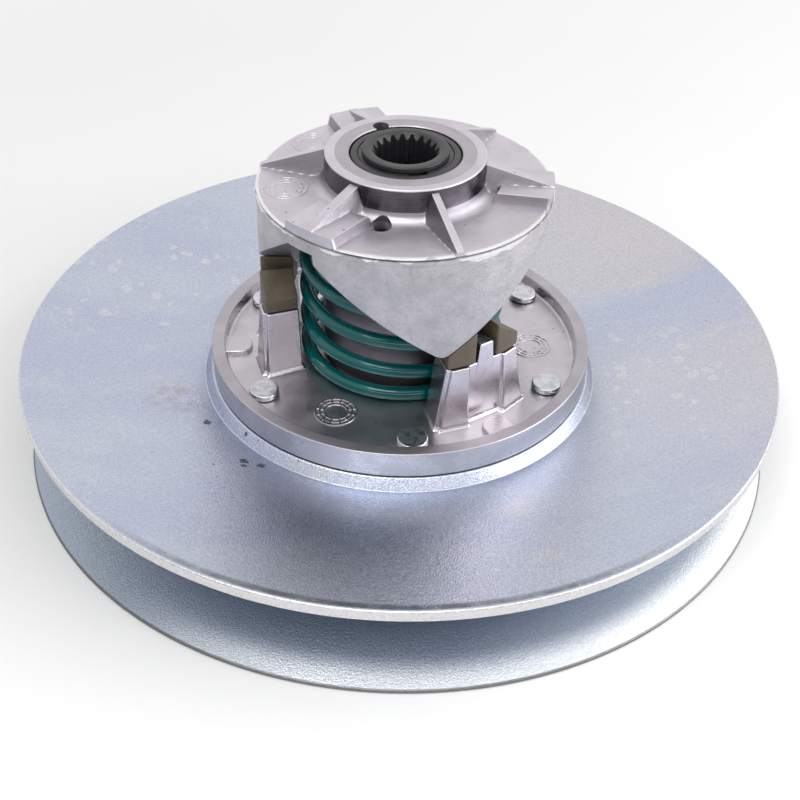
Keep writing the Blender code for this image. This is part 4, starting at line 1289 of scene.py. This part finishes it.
def cam_section(column):
    """One column of the cam's mesh: hub ring, top with ribs, wall and roof."""
    rib_azimuth, wide, away = column[:3]
    rim_azimuth = rib_azimuth + away
    points = [polar(radius, column_azimuth(radius, column), height)
              for radius, height in hub_ring_levels()]
    reach = CAM_RADIUS - RIM_STEP - HUB_RING_RADIUS
    for step in range(TOP_STATIONS + 1):
        radius = HUB_RING_RADIUS + reach * (step / TOP_STATIONS) ** TOP_SPREAD
        azimuth = column_azimuth(radius, column)
        side = radius * math.sin(azimuth - rib_azimuth)
        points.append(polar(radius, azimuth, plate_height(radius, side, wide)))
    wall = wall_levels(ramp_height(rim_azimuth))
    points.extend(polar(radius, rim_azimuth, height) for radius, height in wall)
    return points


def pin_hole():
    """Guide for the hole that the cam and the retaining ring share."""
    radius = PIN_RADIUS + CLEARANCE
    return stacked_mesh([(radius, RETAINER_BOTTOM - CLEARANCE), (radius, POST_TOP)], PIN_CENTRE)


def cam_face_kind(face):
    """Outer wall, machined ring face, turned neck of the hub ring darkened with painted shade, or
    cast surface.
    """
    radius = face_radius(face)
    height = face.center.z
    if radius > LOBE_OUTER - 3 * NEAR and height < PLATE_TOP - NEAR:
        return CAM_WALL
    if radius < HUB_RING_RADIUS - HUB_BAND and height > COUNTERBORE_FLOOR - NEAR / 2:
        return CAM_RING_FACE
    upright = abs(face.normal.z) < UPRIGHT
    if upright and abs(radius - HUB_RING_RADIUS) < 2 * NEAR and height < HUB_RING_TOP - HUB_EDGE:
        return CAM_NECK
    return CAM_CAST


def build_cam():
    """Cam with three lobes, six ribs, three pads and a hub ring."""
    body = loft_mesh([cam_section(column) for column in cam_columns()], True)
    sight_levels = [(SIGHT_HOLE_RADIUS, CAM_ROOF - HUB_DROP), (SIGHT_HOLE_RADIUS, HUB_RING_TOP)]
    sight_hole = stacked_mesh(sight_levels, polar(SIGHT_HOLE_CIRCLE, SIGHT_HOLE_AZIMUTH, 0))
    drilled = combine(body, [sight_hole, pin_hole()], "DIFFERENCE")
    mesh = combine(drilled, mark_meshes(CAM_MARKS, PLATE_TOP, CAM_MARK_RIDGE), "UNION")
    paint_faces(mesh, cam_face_kind)
    cam = place("ramp_cam_casting", mesh, "fixed_assembly", "cast_aluminium", "ramp_cam",
                cast_cam, cam_wall, machined_face, neck_painted_shade)
    even_shading(cam)


# Post, rings, pin and bushings
SPLINE_TEETH = 20
TOOTH_STEPS = 12
FLANK_STEEPNESS = 1.3
LEAD_IN = SPLINE_ROOT + HAIR
LEAD_IN_DROP = 0.0001
LEAD_IN_SLOPE = 1.5
POST_EDGE = 0.0004
SEEN_POST_TOP = POST_TOP - 0.0014
RETAINER_EDGE = 0.0011
SNAP_WIDTH = 0.0019
SNAP_SEAT = 0.0005
SNAP_PLAY = 0.0001
SNAP_GAP = math.radians(24)
PIN_SHOULDER = 0.0001
PIN_SHOULDER_DROP = 0.00015
PIN_DIMPLE = 0.4
BUSHING_LENGTH = 0.0115
BUSHING_INSET = 0.0005


def spline_radius(index):
    """Inner radius of the post along one tooth: tip, flank, root, flank."""
    share = index % TOOTH_STEPS / TOOTH_STEPS
    wave = min(max(FLANK_STEEPNESS * math.cos(2 * math.pi * share), -1), 1)
    return (SPLINE_TIP + SPLINE_ROOT) / 2 - (SPLINE_ROOT - SPLINE_TIP) / 2 * wave


def build_post():
    """Splined tube with rounded ends and a groove for the snap ring."""
    groove = POST_RADIUS - SNAP_SEAT - CLEARANCE
    outside = [
        (LEAD_IN, FIXED_HUB_RISE),
        (POST_RADIUS - POST_EDGE, FIXED_HUB_RISE),
        (POST_RADIUS, FIXED_HUB_RISE + POST_EDGE),
        (POST_RADIUS, SNAP_BOTTOM - CLEARANCE),
        (groove, SNAP_BOTTOM - CLEARANCE),
        (groove, SNAP_TOP + CLEARANCE),
        (POST_RADIUS, SNAP_TOP + CLEARANCE),
    ]
    outside.extend(edge_rings(POST_RADIUS, SEEN_POST_TOP, POST_EDGE))
    outside.append((LEAD_IN + HAIR, SEEN_POST_TOP))
    outside.append((LEAD_IN, SEEN_POST_TOP - LEAD_IN_DROP))
    sections = []
    for index, azimuth in enumerate(steps_around(SPLINE_TEETH * TOOTH_STEPS)):
        inner = spline_radius(index)
        chamfer = (LEAD_IN - inner) * LEAD_IN_SLOPE
        inside = [(inner, SEEN_POST_TOP - LEAD_IN_DROP - chamfer),
                  (inner, FIXED_HUB_RISE + chamfer)]
        sections.append([polar(radius, azimuth, height) for radius, height in outside + inside])
    mesh = loft_mesh(sections, True)
    place("splined_post_tube", mesh, "fixed_assembly", "black_steel", "splined_post", black)


def build_retaining_ring():
    """Ring in the cam's counterbore, with a ledge for the snap ring."""
    ledge = POST_RADIUS + SNAP_WIDTH - SNAP_SEAT + SNAP_PLAY
    corners = [
        (BORE_RADIUS, RETAINER_BOTTOM, CRISP),
        (RETAINER_RADIUS, RETAINER_BOTTOM, FINE),
        (RETAINER_RADIUS, RETAINER_TOP, RETAINER_EDGE),
        (ledge, RETAINER_TOP, FINE),
        (ledge, RETAINER_LEDGE, CRISP),
        (BORE_RADIUS, RETAINER_LEDGE, CRISP),
    ]
    mesh = combine(turned_mesh(corners, BODY_STEPS), [pin_hole()], "DIFFERENCE")
    place("retaining_ring_body", mesh, "fixed_assembly", "black_steel", "retaining_ring", black)


def build_snap_ring():
    """Split ring in the post's groove."""
    inner = POST_RADIUS - SNAP_SEAT
    outline = rounded(block(inner, inner + SNAP_WIDTH, SNAP_BOTTOM, SNAP_TOP, HAIR))
    sweep = 2 * math.pi - SNAP_GAP
    azimuths = [SNAP_GAP / 2 + sweep * step / BODY_STEPS for step in range(BODY_STEPS + 1)]
    mesh = loft_mesh([[polar(x, azimuth, y) for x, y in outline] for azimuth in azimuths], False)
    place("snap_ring_wire", mesh, "fixed_assembly", "black_steel", "snap_ring", black)


def build_lock_pin():
    """Pin astride the cam and the retaining ring, with a slightly hollow top."""
    top = HUB_RING_TOP - PIN_RECESS
    levels = [
        (PIN_RADIUS - CRISP, RETAINER_BOTTOM),
        (PIN_RADIUS, RETAINER_BOTTOM + CRISP),
        (PIN_RADIUS, top - FINE),
        (PIN_RADIUS - PIN_SHOULDER, top - PIN_SHOULDER_DROP),
        (PIN_RADIUS - FINE, top),
        (PIN_RADIUS * PIN_DIMPLE, top - HAIR),
    ]
    mesh = stacked_mesh(levels, PIN_CENTRE)
    place("lock_pin_form", mesh, "fixed_assembly", "bright_steel", "lock_pin", black)


def build_bushings():
    """Two plain bushings in the boss."""
    lower = BOSS_BOTTOM + BUSHING_INSET
    upper = BOSS_TOP - BUSHING_INSET - BUSHING_LENGTH
    for node, bottom in (("lower_bushing", lower), ("upper_bushing", upper)):
        corners = block(BORE_RADIUS, BUSHING_RADIUS, bottom, bottom + BUSHING_LENGTH, FINE)
        mesh = turned_mesh(corners, BODY_STEPS)
        place(node + "_sleeve", mesh, "movable_assembly", "bushing_bronze", node, bronze)


# Spring
WIRE = 0.00245
WIRE_SIDES = 20
WIRE_CHAMFER = 0.0004
SPRING_TURNS = 5.5
SPRING_STEPS = 72
DEAD_TURNS = 0.3
EASE_TURNS = 0.3
SPRING_START = math.radians(89.2)
TANG_BEND = 0.003
TANG_STEPS = 8


def coil_points():
    """Centre line of the left-hand coil, flat at both ends, each point with its azimuth."""
    low = HUB_FLOOR + CLEARANCE + WIRE
    high = CAM_ROOF - CLEARANCE - 2 * WIRE - TANG_BEND
    climbs = [0.0]
    for index in range(round(SPRING_TURNS * SPRING_STEPS)):
        turn = (index + 0.5) / SPRING_STEPS
        from_end = min(turn, SPRING_TURNS - turn)
        climbs.append(climbs[-1] + min(max((from_end - DEAD_TURNS) / EASE_TURNS, 0), 1))
    points = []
    for index, climb in enumerate(climbs):
        azimuth = SPRING_START - 2 * math.pi * index / SPRING_STEPS
        height = low + (high - low) * climb / climbs[-1]
        points.append((polar(COIL_RADIUS, azimuth, height), azimuth))
    return points


def tang_points(end, ahead, away):
    """Wire from a coil's end: along ahead, bent towards away, then straight."""
    points = []
    for sine, cosine in quarter_turn(TANG_STEPS)[1:]:
        points.append(end + ahead * TANG_BEND * sine + away * TANG_BEND * (1 - cosine))
    points.append(points[-1] + away * 2 * WIRE)
    return points


def spring_path():
    """Centre line with its tangs, each point with the outward direction at it."""
    coil = coil_points()
    first, start = coil[0]
    last, finish = coil[-1]
    lower = tang_points(first, polar(1, start + math.pi / 2, 0), -UP)
    upper = tang_points(last, polar(1, finish - math.pi / 2, 0), UP)
    path = [(point, polar(1, start, 0)) for point in reversed(lower)]
    path.extend((point, polar(1, azimuth, 0)) for point, azimuth in coil)
    path.extend((point, polar(1, finish, 0)) for point in upper)
    return path


def wire_sections(path):
    """Rings of the wire along its path, with chamfered ends."""
    sections = []
    last = len(path) - 1
    for index, (point, outward) in enumerate(path):
        along = (path[min(index + 1, last)][0] - path[max(index - 1, 0)][0]).normalized()
        side = (outward - along * outward.dot(along)).normalized()
        other = along.cross(side)
        ring = [point + (side * math.cos(angle) + other * math.sin(angle)) * WIRE
                for angle in steps_around(WIRE_SIDES)]
        if index in (0, last):
            inner = [point + (corner - point) * (1 - WIRE_CHAMFER / WIRE) for corner in ring]
            step = along * WIRE_CHAMFER
            lowered = [corner + (step if index == 0 else -step) for corner in ring]
            sections.extend([inner, lowered] if index == 0 else [lowered, inner])
        else:
            sections.append(ring)
    return sections


def build_spring():
    """Round painted wire that shortens as the sheave climbs."""
    path = spring_path()
    mesh = loft_mesh(wire_sections(path), False)
    spring = place("compression_spring_wire", mesh, "spring", "teal_paint",
                   "compression_spring", teal)
    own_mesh(spring)


build_sheaves()
build_fixed_hub()
build_rivets("rivet", "movable_assembly", RIVET_CIRCLE, LAND_TOP - SHEET, HUB_FLOOR)
build_rivets("fixed_rivet", "fixed_assembly", FIXED_RIVET_CIRCLE,
             FIXED_LAND - SHEET - CLEARANCE - FIXED_FLANGE_THICKNESS, FIXED_LAND)
build_slider_hub()
build_shoes()
build_cam()
build_post()
build_retaining_ring()
build_snap_ring()
build_lock_pin()
build_bushings()
build_spring()

# Floor, surroundings, light and camera
FLOOR_HALF = 4.0
FLOOR_DROP = 0.0002
FLOOR_SHADES = ((0.85, 0.85, 0.85), (0.87, 0.87, 0.87))
FLOOR_DRIFT = dict(scale=3, detail=2, low=0.3, high=0.7)
FLOOR_FADE = (0.28, 0.75)
WORLD_WHITE = (1, 1, 1, 1)
WORLD_FILL = 0.58
CLOTH_SHADES = ((0.02, 0.02, 0.022), (0.03, 0.03, 0.032))
CLOTH_WEAVE = dict(scale=40, detail=2, low=0.3, high=0.7)
FLAG_RADIUS = 1.6
FLAG_STEPS = 20
CAMERA_POSITION = Vector((-0.10564, -0.36126, 0.30170))
CAMERA_TARGET = Vector((0.00048, -0.00014, 0.00510))
CAMERA_ROLL = math.radians(1.73)
CAMERA_LENS = 57.38
CAMERA_CLIP = 0.01

# Azimuths and elevations of the flags in degrees
FLAGS = {
    "camera_flag": ((-44, 12), (28, 48)),
    "low_flag": ((-86, 44), (0, 11)),
}

# Position, width, depth and power of the lamps, and the point at which they aim
LAMPS = {
    "right_key": ((1.05, -0.40, 0.80), 1.5, 0.9, 8.2),
    "right_low": ((1.18, -0.68, 0.30), 0.7, 0.4, 6.0),
    "front_strip": ((-0.40, -1.38, 0.55), 1.8, 0.34, 3.1),
    "front_top": ((-0.16, -0.55, 1.20), 1.2, 0.8, 3.9),
    "spark": ((-0.37, -0.42, 1.05), 0.45, 0.45, 2.6),
}
LAMP_AIM = Vector((0, 0, 0.05))


def stage_object(name, rows, material):
    """Backdrop object from rows of points, which isn't part of the pulley."""
    bm = bmesh.new()
    grid = [[bm.verts.new(point) for point in row] for row in rows]
    for near, far in zip(grid, grid[1:]):
        for index in range(len(near) - 1):
            bm.faces.new((near[index], far[index], far[index + 1], near[index + 1]))
    mesh = bpy.data.meshes.new(name)
    bm.to_mesh(mesh)
    bm.free()
    backdrop = bpy.data.objects.new(name, mesh)
    backdrop.data.materials.append(material)
    bpy.context.collection.objects.link(backdrop)
    return backdrop


def floor_material():
    """Pale floor with a faint unevenness, white far from the pulley for what sees it directly."""
    floor = Surface("pale_floor", roughness=0.7, specular_ior_level=0.1)
    white = floor.add("ShaderNodeEmission", {"Strength": 1.0}).outputs["Emission"]
    share = floor.product(floor.ramp(floor.shaft_distance(), *FLOOR_FADE), floor.seen_directly())
    blend = floor.add("ShaderNodeMixShader", {0: share, 1: floor.shader.outputs["BSDF"], 2: white})
    output = floor.tree.nodes["Material Output"]
    floor.tree.links.new(blend.outputs["Shader"], output.inputs["Surface"])
    return floor.complete(floor.mix(floor.patches(**FLOOR_DRIFT), *FLOOR_SHADES))


def flag_material():
    """Dark cloth."""
    cloth = Surface("dark_flag", roughness=1.0)
    return cloth.complete(cloth.mix(cloth.patches(**CLOTH_WEAVE), *CLOTH_SHADES))


def build_floor():
    """Large pale floor under the lower rim."""
    ends = (-FLOOR_HALF, FLOOR_HALF)
    stage_object("floor", [[(x, y, -FLOOR_DROP) for y in ends] for x in ends], floor_material())


def spread_between(ends):
    """Even steps between two angles in degrees, as radians."""
    start, end = ends
    return [math.radians(start + (end - start) * step / FLAG_STEPS)
            for step in range(FLAG_STEPS + 1)]


def build_flags():
    """Dark screens on a sphere around the pulley, which only reflections see."""
    dark_cloth = flag_material()
    for name, (azimuths, elevations) in FLAGS.items():
        rows = [[polar(FLAG_RADIUS * math.cos(rise), azimuth, FLAG_RADIUS * math.sin(rise))
                 for rise in spread_between(elevations)] for azimuth in spread_between(azimuths)]
        flag = stage_object(name, rows, dark_cloth)
        flag.visible_camera = False
        flag.visible_diffuse = False
        flag.visible_shadow = False
        flag.visible_transmission = False


def build_world():
    """White surroundings for what the camera and reflections see, a softer fill for the rest."""
    world = bpy.data.worlds.new("studio")
    world.use_nodes = True
    sky = Nodes(world.node_tree)
    background = sky.tree.nodes["Background"]
    background.inputs["Color"].default_value = WORLD_WHITE
    strength = sky.ramp(sky.seen_directly(), 0, 1, WORLD_FILL)
    sky.tree.links.new(strength, background.inputs["Strength"])
    bpy.context.scene.world = world


def build_lamps():
    """Soft rectangular lamps."""
    for name, (position, width, depth, power) in LAMPS.items():
        data = bpy.data.lights.new(name, "AREA")
        data.shape = "RECTANGLE"
        data.size = width
        data.size_y = depth
        data.energy = power
        lamp = bpy.data.objects.new(name, data)
        lamp.location = position
        lamp.rotation_euler = (LAMP_AIM - Vector(position)).to_track_quat("-Z", "Y").to_euler()
        lamp.visible_camera = False
        bpy.context.collection.objects.link(lamp)


def build_camera():
    """Camera of the photograph."""
    data = bpy.data.cameras.new("camera")
    data.lens = CAMERA_LENS
    data.clip_start = CAMERA_CLIP
    camera = bpy.data.objects.new("camera", data)
    look = (CAMERA_TARGET - CAMERA_POSITION).normalized()
    right = look.cross(UP).normalized()
    up = right.cross(look)
    rolled_right = right * math.cos(CAMERA_ROLL) + up * math.sin(CAMERA_ROLL)
    rolled_up = up * math.cos(CAMERA_ROLL) - right * math.sin(CAMERA_ROLL)
    turn = Matrix((rolled_right, rolled_up, -look)).transposed()
    camera.matrix_world = Matrix.Translation(CAMERA_POSITION) @ turn.to_4x4()
    bpy.context.collection.objects.link(camera)
    bpy.context.scene.camera = camera


build_floor()
build_world()
build_flags()
build_lamps()
build_camera()
bpy.context.scene.view_settings.view_transform = "Standard"
